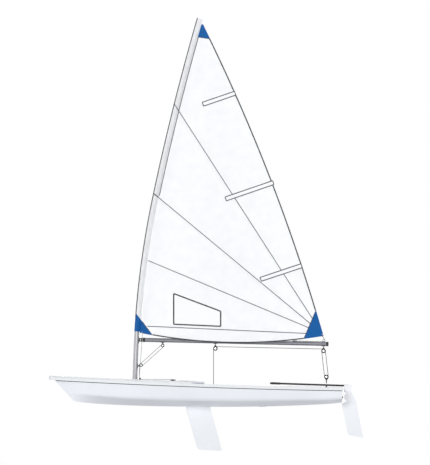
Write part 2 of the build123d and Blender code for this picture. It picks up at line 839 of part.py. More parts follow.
def boom_hanger(x, pulley_z, size, reach):
    """The saddle under the boom and the strap down to a pulley's head bar."""
    under = boom_at(x) - boom_radius
    half_strap = size.width / 2 - 1.0
    strap = block_between((x - 5.0, -half_strap, pulley_z + reach), (x + 5.0, half_strap, under + 6.0))
    saddle = block_between((x - 26.0, -15.0, under - 5.0), (x + 26.0, 15.0, under + 8.0))
    saddle = fillet(saddle.edges().filter_by(Axis.Z), 8.0)
    around = 60.0
    inside = rod((x - around, 0, boom_at(x - around)), (x + around, 0, boom_at(x + around)), boom_radius)
    return strap + saddle - inside


def perpendicular(start, end):
    """The unit vector square to the way from start to end, turned a quarter clockwise, as x, z."""
    run, rise = end[0] - start[0], end[1] - start[1]
    length = hypot(run, rise)
    return rise / length, -run / length


def beside(point, direction, distance):
    """The x, z point at a distance from another in a direction."""
    return point[0] + direction[0] * distance, point[1] + direction[1] * distance


def wrap(centre, first, last, radius):
    """An arc round a pulley from one direction to another, the short way."""
    total = hypot(first[0] + last[0], first[1] + last[1])
    way = ((first[0] + last[0]) / total, (first[1] + last[1]) / total)
    stops = [beside(centre, turn, radius) for turn in (first, way, last)]
    return ThreePointArc(*stops)


def tackle():
    """The mainsheet in four lengths, from the becket under the boom's end to the block in the cockpit."""
    pitch, thick = sheet_pulley.pitch, sheet_pulley.rope
    low, high = (traveller_x, traveller_z), (boom_end_x, boom_end_z)
    middle_pulley = (boom_middle_x, boom_middle_z)
    deck_pulley = (boom_middle_x, ratchet_z)
    aft = perpendicular(low, high)
    fore = (-aft[0], -aft[1])
    down = perpendicular((0.0, 0.0), aft)
    up = perpendicular(high, middle_pulley)
    up = (-up[0], -up[1]) if up[1] < 0 else up
    front, back, under = (-1.0, 0.0), (1.0, 0.0), (0.0, -1.0)

    falls = Line(becket_point(), beside(low, fore, pitch))
    falls += ThreePointArc(beside(low, fore, pitch), beside(low, down, pitch), beside(low, aft, pitch))
    falls += Line(beside(low, aft, pitch), beside(high, aft, pitch))
    run = wrap(high, aft, up, pitch) + Line(beside(high, up, pitch), beside(middle_pulley, up, pitch))
    run += wrap(middle_pulley, up, front, pitch)
    fall = Line(beside(middle_pulley, front, pitch), beside(deck_pulley, front, pitch))
    tail_length, knot_radius = 26.0, 11.0
    tail_end = (deck_pulley[0] + pitch, deck_pulley[1] + tail_length)
    tail_stops = [beside(deck_pulley, way, pitch) for way in (front, under, back)]
    tail = ThreePointArc(*tail_stops)
    tail += Line(beside(deck_pulley, back, pitch), tail_end)
    ropes = {
        "mainsheet_falls": falls,
        "mainsheet_boom_run": run,
        "mainsheet_deck_fall": fall,
        "mainsheet_tail": tail,
    }
    made = {name: rope(Wire((Plane.XZ * line).edges()), thick) for name, line in ropes.items()}
    made["mainsheet_tail"] += Pos(tail_end[0], 0, tail_end[1] + thick) * Sphere(knot_radius)
    return made


def becket_point():
    """Where the mainsheet's standing end is tied, at the front of the block under the boom's end."""
    fore = perpendicular((boom_end_x, boom_end_z), (traveller_x, traveller_z))
    return beside((boom_end_x, boom_end_z), fore, sheet_pulley.pitch)


def vang():
    """The kicking strap: two parts of rope between the mast and the boom."""
    pitch = vang_pulley.pitch
    low, high = (vang_mast_x, vang_mast_z), (vang_boom_x, vang_boom_z)
    aft = perpendicular(low, high)
    fore = (-aft[0], -aft[1])
    up = (-aft[1], aft[0])
    down = (aft[1], -aft[0])
    line = Line(beside(low, fore, pitch), beside(high, fore, pitch))
    line += ThreePointArc(beside(high, fore, pitch), beside(high, up, pitch), beside(high, aft, pitch))
    line += Line(beside(high, aft, pitch), beside(low, aft, pitch))
    line += ThreePointArc(beside(low, aft, pitch), beside(low, down, pitch), beside(low, fore, pitch))
    return rope(Wire((Plane.XZ * line).edges()), vang_pulley.rope)


def vang_tang():
    """The swivel plate on the mast that the vang's lower block hangs on."""
    mast_x, _ = mast_at(vang_mast_z)
    reach = vang_pulley.cheek * 1.3
    inner = vang_pulley.width / 2 - 0.5
    head = vang_head(reach)
    tang = block_between((mast_x, -inner, head[1] - 9.0), (head[0] + 4.0, inner, head[1] + 9.0))
    plate = Pos(mast_x + mast_radius - 6.0, 0, head[1]) * Box(18.0, 40.0, 70.0)
    plate = fillet(plate.edges().filter_by(Axis.X), 8.0)
    return (tang + plate) - mast_bar(300.0, 900.0, mast_radius)


def vang_head(reach):
    """Where the lower vang block's head bar lies: towards the mast and a little down."""
    lean = radians(200.0)
    return vang_mast_x + reach * cos(lean), vang_mast_z + reach * sin(lean)


def rig_blocks():
    """Pulleys on the boom and mast, as frames and sheaves."""
    reach = sheet_pulley.cheek * 1.25
    low_reach = vang_pulley.cheek * 1.3
    end_place = upright(boom_end_x, boom_end_z)
    middle_place = upright(boom_middle_x, boom_middle_z)
    boom_place = upright(vang_boom_x, vang_boom_z)
    head = vang_head(low_reach)
    mast_place = upright(vang_mast_x, vang_mast_z, (head[0] - vang_mast_x, 0, head[1] - vang_mast_z))
    frames = {
        "boom_end_block": pulley_frame(end_place, sheet_pulley, reach),
        "boom_middle_block": pulley_frame(middle_place, sheet_pulley, reach),
        "vang_boom_block": pulley_frame(boom_place, vang_pulley, low_reach),
        "vang_mast_block": pulley_frame(mast_place, vang_pulley, low_reach) + vang_tang(),
    }
    frames["boom_end_block"] += boom_hanger(boom_end_x, boom_end_z, sheet_pulley, reach)
    frames["boom_middle_block"] += boom_hanger(boom_middle_x, boom_middle_z, sheet_pulley, reach)
    frames["vang_boom_block"] += boom_hanger(vang_boom_x, vang_boom_z, vang_pulley, low_reach)
    wheels = [
        sheave(end_place, sheet_pulley),
        sheave(middle_place, sheet_pulley),
        sheave(boom_place, vang_pulley),
        sheave(mast_place, vang_pulley),
    ]
    return frames, wheels


def traveller():
    """The rope across the stern, its fairleads, and the pair of pulleys that joins it to the mainsheet."""
    low_place = Plane(origin=(traveller_x, 0, traveller_low_z), x_dir=(0, 1, 0), z_dir=(1, 0, 0))
    high_place = upright(traveller_x, traveller_z, (0, 0, -1))
    low_reach = (traveller_z - traveller_low_z + traveller_pulley.flange - sheet_pulley.flange) / 2
    high_reach = traveller_z - traveller_low_z - low_reach
    frame = pulley_frame(low_place, traveller_pulley, low_reach)
    frame += pulley_frame(high_place, sheet_pulley, high_reach)
    wheels = [sheave(low_place, traveller_pulley), sheave(high_place, sheet_pulley)]

    deck_z = sheer(traveller_x) + lip_height
    pitch = traveller_pulley.pitch
    eye_z = deck_z + fairlead_height
    slope = atan2(traveller_low_z + pitch - eye_z, fairlead_y)
    side = (sin(slope), cos(slope))
    touch = beside((0.0, traveller_low_z), side, pitch)
    far = (fairlead_y, touch[1] - (fairlead_y - touch[0]) * tan(slope))

    def flip(point):
        return -point[0], point[1]

    line = Line(flip(far), flip(touch)) + ThreePointArc(flip(touch), (0.0, traveller_low_z + pitch), touch)
    line += Line(touch, far)
    plane = Plane(origin=(traveller_x, 0, 0), x_dir=(0, 1, 0), z_dir=(1, 0, 0))
    line_rope = rope(Wire((plane * line).edges()), traveller_pulley.rope)
    leads = []
    for hand in (-1.0, 1.0):
        y = hand * (fairlead_y + 12.0)
        foot = Pos(traveller_x, y, deck_z - 2.0) * Cylinder(17.0, 10.0, align=upward)
        post = Cylinder(9.0, far[1] - deck_z + 10.0, align=upward)
        post = Pos(traveller_x, y, deck_z) * fillet(post.edges().sort_by(Axis.Z)[-1], 4.0)
        leads.append(foot + post)
    return frame, wheels, line_rope, leads


def ratchet():
    """The mainsheet block on the moulded plinth at the front of the cockpit."""
    place = upright(boom_middle_x, ratchet_z, (0, 0, -1))
    reach = ratchet_z - plinth_top - 14.0
    base = Pos(boom_middle_x, 0, plinth_top) * Cylinder(20.0, 6.0, align=upward)
    stem = Pos(boom_middle_x, 0, plinth_top) * Cylinder(4.5, ratchet_z - plinth_top - reach, align=upward)
    return pulley_frame(place, sheet_pulley, reach) + base + stem, sheave(place, sheet_pulley)


def board():
    """The daggerboard: a foil with a round nose and a thin back, and its tip cut to the plan."""
    half, edge = board_thickness / 2, board_edge / 2
    nose_run, taper_start = half * 1.6, board_chord * 0.62
    outline = ThreePointArc((nose_run, half), (0.0, 0.0), (nose_run, -half))
    outline += Polyline((nose_run, -half), (taper_start, -half), (board_chord, -edge))
    outline += Line((board_chord, -edge), (board_chord, edge))
    outline += Polyline((board_chord, edge), (taper_start, half), (nose_run, half))
    foil = extrude(board_frame(-board_up) * make_face(outline), board_up + board_down)
    top = head_back_top - 10.0
    tip_front, tip_back = board_front_x(board_tip_z), board_front_x(board_tip_z) + board_chord
    keep = make_face(
        Polyline(
            (board_front_x(top), top),
            (tip_back, top),
            (tip_back + board_chord, board_tip_z - 2 * board_tip_slope),
            (tip_front, board_tip_z + board_tip_slope / 2),
            close=True,
        )
    )
    keep = fillet(keep.vertices().sort_by(Axis.Y)[1], board_tip_round)
    return foil & extrude(Plane.XZ * keep, board_thickness, both=True)


def board_front_x(z):
    """Just ahead of the board's front edge at a height."""
    return board_nose_x + (board_mark_z - z) * tan(radians(board_rake)) - 1.0


def board_head():
    """The thick head that stops the board on its case and serves as its handle."""
    front = board_front_x(trough_floor) - head_overhang
    back = front + head_length
    low = trough_floor + rest_gap
    crest = (front + head_crest_run, head_crest)
    outline = side_face([(front, low), (back, low), (back, head_back_top), crest, (front, head_front_top)])
    head = extrude(outline, head_width / 2, both=True)
    head = fillet(head.edges().filter_by(Axis.Z), head_overhang)
    hole_z = (low + head_front_top) / 2 - 2.0
    hole = Pos((front + back) / 2, 0, hole_z) * Rot(90, 0, 0) * Cylinder(head_hole, head_width + 10.0)
    return head - hole


def rudder_head():
    """Two cheek plates joined by a web and a tiller socket, with the pintles in front."""
    inner = blade_thickness / 2 + blade_gap
    outer = inner + cheek_thickness
    front, back = rudder_head_front, rudder_head_back
    top, foot = rudder_head_top, rudder_head_foot
    neck_z, shoulder = blade_bolt_z + 71.0, (back + 27.0, blade_bolt_z + 28.0)
    cheek_points = [
        (front, top),
        (back, top),
        (back, neck_z),
        shoulder,
        (back + 22.0, blade_bolt_z - 6.0),
        (back - 8.0, foot),
        (front + 22.0, foot),
        (front, foot + 14.0),
    ]
    whole = side_prism(cheek_points, outer)
    whole = fillet(whole.edges().filter_by(Axis.Y), 5.0)
    slot = block_between((front - 10.0, -inner, foot - 20.0), (back + 50.0, inner, rudder_web_z))
    socket = rod(*tiller_line(10.0), tiller_diameter / 2 + rest_gap)
    bolt_length = 2 * (outer + bolt_head)
    bolt = Pos(blade_bolt_x, 0, blade_bolt_z) * Rot(90, 0, 0) * Cylinder(bolt_radius, bolt_length)
    head = whole - slot - socket + bolt
    around, below = 24.0, 20.0
    for z in (gudgeon_high, gudgeon_low):
        ear_low = z + gudgeon_height / 2 + pintle_play
        ear = block_between((pintle_x, -outer, ear_low), (front + around, outer, ear_low + pintle_ear))
        ear += Pos(pintle_x, 0, ear_low) * Cylinder(pintle_ear, pintle_ear, align=upward)
        pin_low = ear_low - gudgeon_height - 8.0
        pin = Pos(pintle_x, 0, pin_low) * Cylinder(pintle_radius, gudgeon_height + 10.0, align=upward)
        head += ear + pin
        room = Cylinder(around, gudgeon_height + below, align=upward)
        room -= Cylinder(pintle_radius, gudgeon_height + below, align=upward)
        head -= Pos(pintle_x, 0, ear_low - gudgeon_height - below) * room
    return head


def tiller_line(extra):
    """The tiller's ends, run on past the back by a length."""
    slope = (tiller_back_z - tiller_front_z) / (rudder_head_back - tiller_front_x)
    return (tiller_front_x, 0, tiller_front_z), (rudder_head_back + extra, 0, tiller_back_z + slope * extra)


def tiller():
    """The tiller's tube with its grip."""
    start, end = tiller_line(-8.0)
    along = (Vector(*end) - Vector(*start)).normalized()
    grip_end = Vector(*start) + along * grip_length
    return rod(start, end, tiller_diameter / 2) + rod(start, grip_end, grip_diameter / 2)


def extension():
    """The hiking stick, folded back beside the tiller, on a rubber joint at the tiller's end."""
    start, end = tiller_line(0.0)
    along = (Vector(*end) - Vector(*start)).normalized()
    knuckle_length, knuckle_radius, link_radius = 14.0, 12.0, 7.0
    beside_start = Vector(*start) + Vector(0, extension_offset, 0) + along * 4.0
    stick = rod(beside_start, beside_start + along * extension_length, extension_diameter / 2)
    knuckle = rod(Vector(*start) - along * knuckle_length, Vector(*start) - along * rest_gap, knuckle_radius)
    link = rod(Vector(*start) - along * 8.0, beside_start - along * 12.0, link_radius)
    bend = rod(beside_start - along * 18.0, beside_start, extension_diameter / 2)
    return stick, knuckle + link + bend


# Corners of the rudder blade's outline, as x aft of its bolt and z, with the radius of each corner
blade_table = [
    (-28.0, 62.0, 0.0),
    (-24.0, 4.0, 6.0),
    (-100.0, -34.0, 8.0),
    (-9.0, -487.0, 55.0),
    (210.0, -520.0, 6.0),
    (99.0, 47.0, 14.0),
    (50.0, 84.0, 20.0),
    (19.0, 103.0, 0.0),
]


def blade():
    """The rudder blade: a round boss at its bolt, and a foil raked aft below it."""
    half, back_edge = blade_thickness / 2, 4.0
    face = side_face([(blade_bolt_x + run, z) for run, z, _ in blade_table])
    for run, z, radius in blade_table:
        if radius > 0.0:
            corner = face.vertices().sort_by_distance((blade_bolt_x + run, 0, z))[0]
            face = fillet(corner, radius)
    plate = extrude(face, half, both=True)
    tip_run, tip_z = blade_table[4][:2]
    heel_run, heel_z = blade_table[5][:2]
    along = Vector(tip_run - heel_run, 0, tip_z - heel_z)
    heel = Vector(blade_bolt_x + heel_run, 0, heel_z)
    beyond = along.normalized() * 60.0
    frame = Plane(origin=heel + beyond, x_dir=along.cross(Vector(0, 1, 0)), z_dir=along)
    taper_run, reach = 62.0, 30.0
    for hand in (-1.0, 1.0):
        wedge = make_face(
            Polyline(
                (-taper_run, hand * half),
                (reach, hand * (back_edge / 2 - (half - back_edge / 2) * reach / taper_run)),
                (reach, hand * (half + reach)),
                (-taper_run, hand * (half + reach)),
                close=True,
            )
        )
        plate -= extrude(frame * wedge, along.length)
    bolt_axis = Pos(blade_bolt_x, 0, blade_bolt_z) * Rot(90, 0, 0)
    boss = bolt_axis * Cylinder(blade_boss, blade_thickness)
    hole = bolt_axis * Cylinder(bolt_radius + 0.1, 2 * blade_boss)
    return plate + boss - hole


def gudgeons():
    """The two brackets on the transom that the rudder's pins drop into."""
    made = []
    half_plate, plate_rise, plate_thickness = 36.0, 11.0, 4.0
    half, rise = gudgeon_width / 2, gudgeon_height / 2
    for z in (gudgeon_high, gudgeon_low):
        plate_low = (transom_x, -half_plate, z - plate_rise)
        plate = block_between(plate_low, (transom_x + plate_thickness, half_plate, z + plate_rise))
        plate = fillet(plate.edges().filter_by(Axis.X), plate_rise * 0.8)
        arm = block_between((transom_x, -half, z - rise), (pintle_x, half, z + rise))
        eye = Pos(pintle_x, 0, z) * Cylinder(half, gudgeon_height)
        bore = Pos(pintle_x, 0, z) * Cylinder(pintle_radius + pintle_gap, gudgeon_height + 4.0)
        made.append((plate + arm + eye - bore).solid())
    return Compound(children=made)


def toe_strap():
    """The webbing that the helm's feet hook under, from the plinth to the cockpit's back wall."""
    wall = tan(radians(well_draft))
    back = well_back - wall * (well_top() - strap_height) - rest_gap
    front = well_front + plinth_length + strap_lead
    half = strap_width / 2
    return block_between((front, -half, strap_height), (back, half, strap_height + strap_thickness))


def bow_eye():
    """The towing eye on the foredeck: a plate with a ring that stands on it."""
    x = bow_x + bow_eye_setback
    z = sheer(x) + lip_height + bow_crown
    foot = Pos(x, 0, z) * Box(58.0, 22.0, 6.0)
    foot = fillet(foot.edges().filter_by(Axis.Z), 9.0)
    ring = Pos(x, 0, z + 10.0) * Rot(90, 0, 0) * Cylinder(2 * bow_eye_bore, bow_eye_width)
    hole = Pos(x, 0, z + 11.0) * Rot(90, 0, 0) * Cylinder(bow_eye_bore, 2 * bow_eye_width)
    return foot + ring - hole


def deck_middle(x):
    """Height of the foredeck's middle at x, between the two stations beside it."""
    for (front, low), (back, high) in zip(fore_deck_table, fore_deck_table[1:]):
        if front <= x <= back:
            return sheer(x) + lip_height + low + (high - low) * (x - front) / (back - front)
    return sheer(x) + lip_height + bow_crown


def control_cleats():
    """The plate ahead of the daggerboard with a row of grooved cleats for the sail's control lines."""
    centre = (cleat_plate_front + cleat_plate_back) / 2
    top = deck_middle(centre) + cleat_plate_stand
    half = cleat_plate_width / 2
    plate = block_between((cleat_plate_front, -half, top - 40.0), (cleat_plate_back, half, top))
    plate = fillet(plate.edges().filter_by(Axis.Z), 12.0)
    pitch = cleat_plate_width / cleat_count
    for number in range(cleat_count):
        y = (number - (cleat_count - 1) / 2) * pitch
        body = Box(cleat_length, cleat_width, cleat_height, align=upward)
        body = chamfer(body.faces().sort_by(Axis.Z)[-1].edges().filter_by(Axis.Y), cleat_height * 0.6)
        groove = Box(2 * cleat_length, cleat_groove, cleat_height, align=upward)
        plate += Pos(centre, y, top) * (body - Pos(0, 0, cleat_height * 0.35) * groove)
    return plate


def drain_plug():
    """The screw plug low in the transom, with its flange and finger grip."""
    flange_thickness, grip_length = 4.0, 11.0
    axis = Pos(transom_x, plug_y, plug_z) * Rot(0, 90, 0)
    flange = Cylinder(plug_radius, flange_thickness, align=upward)
    grip = Cylinder(plug_radius * 0.6, grip_length, align=upward)
    bar = Box(plug_radius * 0.9, 5.0, grip_length + 3.0, align=upward)
    return axis * (flange + grip + bar)


def clew_fittings():
    """The saddle on top of the boom's end and the small pulley on it that holds the sail's clew."""
    saddle_length, saddle_width, saddle_wall = 48.0, 30.0, 3.0
    around = 60.0
    front, back = clew_block_x - around, clew_block_x + around
    inside = rod((front, 0, boom_at(front)), (back, 0, boom_at(back)), boom_radius)
    top = boom_at(clew_block_x) + boom_radius
    corner = 8.0
    saddle = Box(saddle_length, saddle_width, corner + saddle_wall, align=upward)
    saddle = Pos(clew_block_x, 0, top - corner) * fillet(saddle.edges().filter_by(Axis.Z), corner)
    axle_z = top + saddle_wall + clew_pulley.cheek
    inner = clew_pulley.width / 2 + side_play
    cheek = Rot(-90, 0, 0) * Cylinder(clew_pulley.cheek, cheek_plate, align=upward)
    root = Box(16.0, cheek_plate, clew_pulley.cheek + saddle_wall, align=(Align.CENTER, Align.MIN, Align.MAX))
    for side_y in (-inner - cheek_plate, inner):
        saddle += Pos(clew_block_x, side_y, axle_z) * (cheek + root)
    axle = Pos(clew_block_x, 0, axle_z) * Rot(90, 0, 0) * Cylinder(axle_radius, 2 * (inner + cheek_plate))
    return (saddle - inside) + axle, sheave(upright(clew_block_x, axle_z), clew_pulley)


def build():
    """Every piece by its name."""
    hull, deck, case = mouldings()
    parts = {"hull": hull, "deck": deck, "daggerboard_case": case, "mast_step": mast_step()}
    parts.update(sail_pieces())
    parts["mast_lower"] = spar(0.0, mast_joint, lower_mast_diameter / 2, spar_wall)
    parts["mast_upper"] = upper_mast()
    parts["boom"] = boom()
    parts["boom_caps"] = boom_caps()
    parts["gooseneck"] = gooseneck()
    frames, rig_wheels = rig_blocks()
    parts.update(frames)
    parts.update(tackle())
    parts["vang_rope"] = vang()
    frame, wheels, line_rope, leads = traveller()
    ratchet_frame, ratchet_wheel = ratchet()
    parts["traveller_block"] = frame
    parts["traveller_rope"] = line_rope
    parts["fairleads"] = Compound(children=[(lead - deck).solid() for lead in leads])
    parts["ratchet_block"] = ratchet_frame
    parts["deck_sheaves"] = Compound(children=[wheel.solid() for wheel in wheels + [ratchet_wheel]])
    parts["toe_strap"] = toe_strap()
    parts["bow_eye"] = bow_eye() - deck
    parts["control_cleats"] = control_cleats() - deck
    parts["drain_plug"] = drain_plug()
    clew_frame, clew_wheel = clew_fittings()
    parts["clew_fittings"] = clew_frame
    parts["rig_sheaves"] = Compound(children=[wheel.solid() for wheel in rig_wheels + [clew_wheel]])
    parts["gudgeons"] = gudgeons()
    parts["rudder_head"] = rudder_head()
    parts["tiller"] = tiller()
    stick, joint = extension()
    parts["tiller_extension"] = stick
    parts["extension_joint"] = joint
    parts["rudder_blade"] = blade()
    parts["daggerboard"] = board()
    parts["daggerboard_head"] = board_head() - parts["daggerboard"]
    return parts


os.makedirs("parts", exist_ok=True)
for name, shape in build().items():
    export_step(shape, f"parts/{name}.step")
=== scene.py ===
import math

import bmesh
import bpy
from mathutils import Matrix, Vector


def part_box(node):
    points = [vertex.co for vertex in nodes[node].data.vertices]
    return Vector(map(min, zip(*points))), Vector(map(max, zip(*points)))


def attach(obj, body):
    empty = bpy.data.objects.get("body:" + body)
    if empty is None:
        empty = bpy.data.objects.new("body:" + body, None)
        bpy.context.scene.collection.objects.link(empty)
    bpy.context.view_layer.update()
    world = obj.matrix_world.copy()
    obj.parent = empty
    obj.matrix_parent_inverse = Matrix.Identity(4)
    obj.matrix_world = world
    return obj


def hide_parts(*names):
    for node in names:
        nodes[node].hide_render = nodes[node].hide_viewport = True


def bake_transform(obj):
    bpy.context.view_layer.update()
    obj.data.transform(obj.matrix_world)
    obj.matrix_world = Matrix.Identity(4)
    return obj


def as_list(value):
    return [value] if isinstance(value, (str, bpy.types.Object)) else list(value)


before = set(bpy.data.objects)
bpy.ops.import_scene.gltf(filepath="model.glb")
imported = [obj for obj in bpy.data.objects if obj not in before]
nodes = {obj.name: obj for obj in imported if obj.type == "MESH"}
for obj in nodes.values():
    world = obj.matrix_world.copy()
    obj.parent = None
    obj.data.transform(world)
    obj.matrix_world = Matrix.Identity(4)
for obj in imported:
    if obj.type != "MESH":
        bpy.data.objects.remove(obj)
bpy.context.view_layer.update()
print("frame loaded:", len(nodes), "nodes")


def linear(hexColour, alpha=1.0):
    parts = [int(hexColour[i : i + 2], 16) / 255 for i in (1, 3, 5)]
    return tuple(c / 12.92 if c <= 0.04045 else ((c + 0.055) / 1.055) ** 2.4 for c in parts) + (alpha,)


def newMaterial(name):
    material = bpy.data.materials.new(name)
    material.use_nodes = True
    return material, material.node_tree, material.node_tree.nodes["Principled BSDF"]


def addNode(tree, kind, settings=None, links=None):
    # settings go to the node's properties or its sockets, links join its sockets to other nodes' outputs
    node = tree.nodes.new(kind)
    for key, value in (settings or {}).items():
        if key == "stops":
            for element, (position, colour) in zip(node.color_ramp.elements, value):
                element.position, element.color = position, colour
        elif isinstance(key, int) or key in node.inputs:
            node.inputs[key].default_value = value
        else:
            setattr(node, key, value)
    for key, source in (links or {}).items():
        tree.links.new(source, node.inputs[key])
    return node


def shade(colour, share):
    # the same colour, darker or lighter by a share
    return tuple(min(c * share, 1.0) for c in colour[:3]) + (1.0,)


def setShader(shader, links=None, **values):
    # constant values and links go straight to the shader's own sockets
    for name, value in values.items():
        shader.inputs[name.replace("_", " ")].default_value = value
    for name, source in (links or {}).items():
        shader.id_data.links.new(source, shader.inputs[name])


def deselectAll():
    if bpy.context.object and bpy.context.object.mode != "OBJECT":
        bpy.ops.object.mode_set(mode="OBJECT")
    bpy.ops.object.select_all(action="DESELECT")


def pick(piece):
    deselectAll()
    piece.select_set(True)
    bpy.context.view_layer.objects.active = piece


def newPiece(name, primitive, **size):
    # a primitive, with nothing else selected
    deselectAll()
    primitive(**size)
    piece = bpy.context.object
    piece.name = name
    return piece


def settle(piece):
    # the finished piece's place goes into its mesh
    pick(piece)
    bpy.ops.object.transform_apply(location=True, rotation=True, scale=True)


def applyModifier(piece, kind, **settings):
    pick(piece)
    modifier = piece.modifiers.new(kind.title(), kind)
    for key, value in settings.items():
        setattr(modifier, key, value)
    bpy.ops.object.modifier_apply(modifier=modifier.name)


def smooth(piece, degrees=35):
    pick(piece)
    bpy.ops.object.shade_smooth_by_angle(angle=math.radians(degrees))
    return piece


def select(piece, kind, chosen):
    # opens the piece for editing, with only those of its faces, edges or verts selected that pass the test
    pick(piece)
    bpy.ops.object.mode_set(mode="EDIT")
    bpy.ops.mesh.select_all(action="DESELECT")
    mesh = bmesh.from_edit_mesh(piece.data)
    for element in getattr(mesh, kind):
        if chosen(element):
            element.select_set(True)
    mesh.select_flush_mode()
    bmesh.update_edit_mesh(piece.data)


def coat(piece, material):
    piece.data.materials.clear()
    piece.data.materials.append(material)


def dress(piece, material, body):
    coat(piece, material)
    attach(piece, body)
    return piece


def upright(point, y=0.0):
    # a point of the side view, x and z, as a place on the boat
    return Vector((point[0], y, point[1]))


# The camera looks square at the port side, as the picture does: 14.39 mm to each of its pixels.
view = {
    "mmPerPixel": 14.39,
    "width": 430,
    "height": 465,
    "bowZeroPixel": 196.0,
    "waterPixel": 401.5,
    "distance": 14.0,
}
camera = bpy.data.cameras.new("camera")
camera.type = "ORTHO"
camera.ortho_scale = view["height"] * view["mmPerPixel"] / 1000
camera.clip_end = 200.0
cameraPiece = bpy.data.objects.new("camera", camera)
bpy.context.scene.collection.objects.link(cameraPiece)
cameraPiece.location = (
    (view["width"] / 2 - view["bowZeroPixel"]) * view["mmPerPixel"] / 1000,
    -view["distance"],
    (view["waterPixel"] - view["height"] / 2) * view["mmPerPixel"] / 1000,
)
cameraPiece.rotation_euler = (math.radians(90), 0, 0)
bpy.context.scene.camera = cameraPiece

# Soft lamps stand on every side. Each is given by where it shines from, its strength and how soft it is.
lamps = {
    "portLamp": {"azimuth": -12, "elevation": 12, "strength": 1.12, "softness": 14},
    "starboardLamp": {"azimuth": 192, "elevation": 12, "strength": 1.12, "softness": 14},
    "portBounce": {"azimuth": 6, "elevation": -20, "strength": 1.27, "softness": 40},
    "starboardBounce": {"azimuth": 174, "elevation": -20, "strength": 1.27, "softness": 40},
    "bowLamp": {"azimuth": -92, "elevation": 15, "strength": 1.0, "softness": 20},
    "sternLamp": {"azimuth": 92, "elevation": 15, "strength": 1.0, "softness": 20},
    "topLamp": {"azimuth": 60, "elevation": 78, "strength": 1.0, "softness": 30},
    "bottomLamp": {"azimuth": 0, "elevation": -86, "strength": 0.4, "softness": 60},
}
for name, lamp in lamps.items():
    light = bpy.data.lights.new(name, "SUN")
    light.energy = lamp["strength"]
    light.angle = math.radians(lamp["softness"])
    lightPiece = bpy.data.objects.new(name, light)
    bpy.context.scene.collection.objects.link(lightPiece)
    around, up = math.radians(lamp["azimuth"]), math.radians(lamp["elevation"])
    towards = Vector((math.sin(around) * math.cos(up), -math.cos(around) * math.cos(up), math.sin(up)))
    lightPiece.rotation_euler = towards.to_track_quat("Z", "Y").to_euler()

studio = {"ambient": "#7b7e83", "background": "#ffffff"}
world = bpy.data.worlds.new("studio")
bpy.context.scene.world = world
world.use_nodes = True
worldTree = world.node_tree
worldTree.nodes.clear()
rays = addNode(worldTree, "ShaderNodeLightPath").outputs
seen = rays["Is Camera Ray"]
for kind in ("Is Transmission Ray", "Is Glossy Ray"):
    either = {0: seen, 1: rays[kind]}
    seen = addNode(worldTree, "ShaderNodeMath", {"operation": "MAXIMUM"}, either).outputs[0]
dim, bright = [
    addNode(worldTree, "ShaderNodeBackground", {"Color": linear(studio[part]), "Strength": 1.0})
    for part in ("ambient", "background")
]
both = addNode(worldTree, "ShaderNodeMixShader", {}, {0: seen, 1: dim.outputs[0], 2: bright.outputs[0]})
addNode(worldTree, "ShaderNodeOutputWorld", {}, {0: both.outputs[0]})
bpy.context.scene.view_settings.view_transform = "Standard"

# The floor lies at the waterline. It is thin enough to see the foils through and lets the lamps reach them.
floorPlan = {"size": 400.0, "colour": "#f6f7f8", "light": "#ffffff", "ownLight": 0.45, "cover": 0.42}
floor = newPiece("floor", bpy.ops.mesh.primitive_plane_add, size=floorPlan["size"])
floorMaterial, tree, shader = newMaterial("pale floor")
tree.nodes.remove(shader)
rays = addNode(tree, "ShaderNodeLightPath")
matt = addNode(tree, "ShaderNodeBsdfDiffuse", {"Color": linear(floorPlan["colour"])})
lit = addNode(tree, "ShaderNodeEmission", {"Color": linear(floorPlan["light"]), "Strength": 1.0})
clear = addNode(tree, "ShaderNodeBsdfTransparent")
pair = {1: matt.outputs[0], 2: lit.outputs[0]}
toned = addNode(tree, "ShaderNodeMixShader", {0: floorPlan["ownLight"]}, pair)
covering = {"operation": "MULTIPLY", 1: floorPlan["cover"]}
direct = addNode(tree, "ShaderNodeMath", covering, {0: rays.outputs["Is Camera Ray"]})
pair = {0: direct.outputs[0], 1: clear.outputs[0], 2: toned.outputs[0]}
film = addNode(tree, "ShaderNodeMixShader", {}, pair)
tree.links.new(film.outputs[0], tree.nodes["Material Output"].inputs["Surface"])
coat(floor, floorMaterial)
print("camera, lamps and floor")


def drift(tree, place, colour, low, pattern):
    # a noise, and the colour, which falls to a share of itself where the noise is low
    noise = addNode(tree, "ShaderNodeTexNoise", pattern, {"Vector": place}).outputs["Fac"]
    stops = [(0.3, shade(linear(colour), low)), (0.7, linear(colour))]
    return noise, addNode(tree, "ShaderNodeValToRGB", {"stops": stops}, {"Fac": noise}).outputs["Color"]


def crossed(tree, places, scale, ways, operation):
    # two sets of parallel waves, laid over each other
    waves = []
    for place, way in zip(places, ways):
        bands = {"Scale": scale, "bands_direction": way}
        waves.append(addNode(tree, "ShaderNodeTexWave", bands, {"Vector": place}).outputs["Fac"])
    return addNode(tree, "ShaderNodeMath", {"operation": operation}, {0: waves[0], 1: waves[1]}).outputs[0]


def facingUp(tree):
    # 1 on faces that look up, -1 on faces that look down
    faces = addNode(tree, "ShaderNodeNewGeometry").outputs["Normal"]
    return addNode(tree, "ShaderNodeSeparateXYZ", {}, {"Vector": faces}).outputs["Z"]


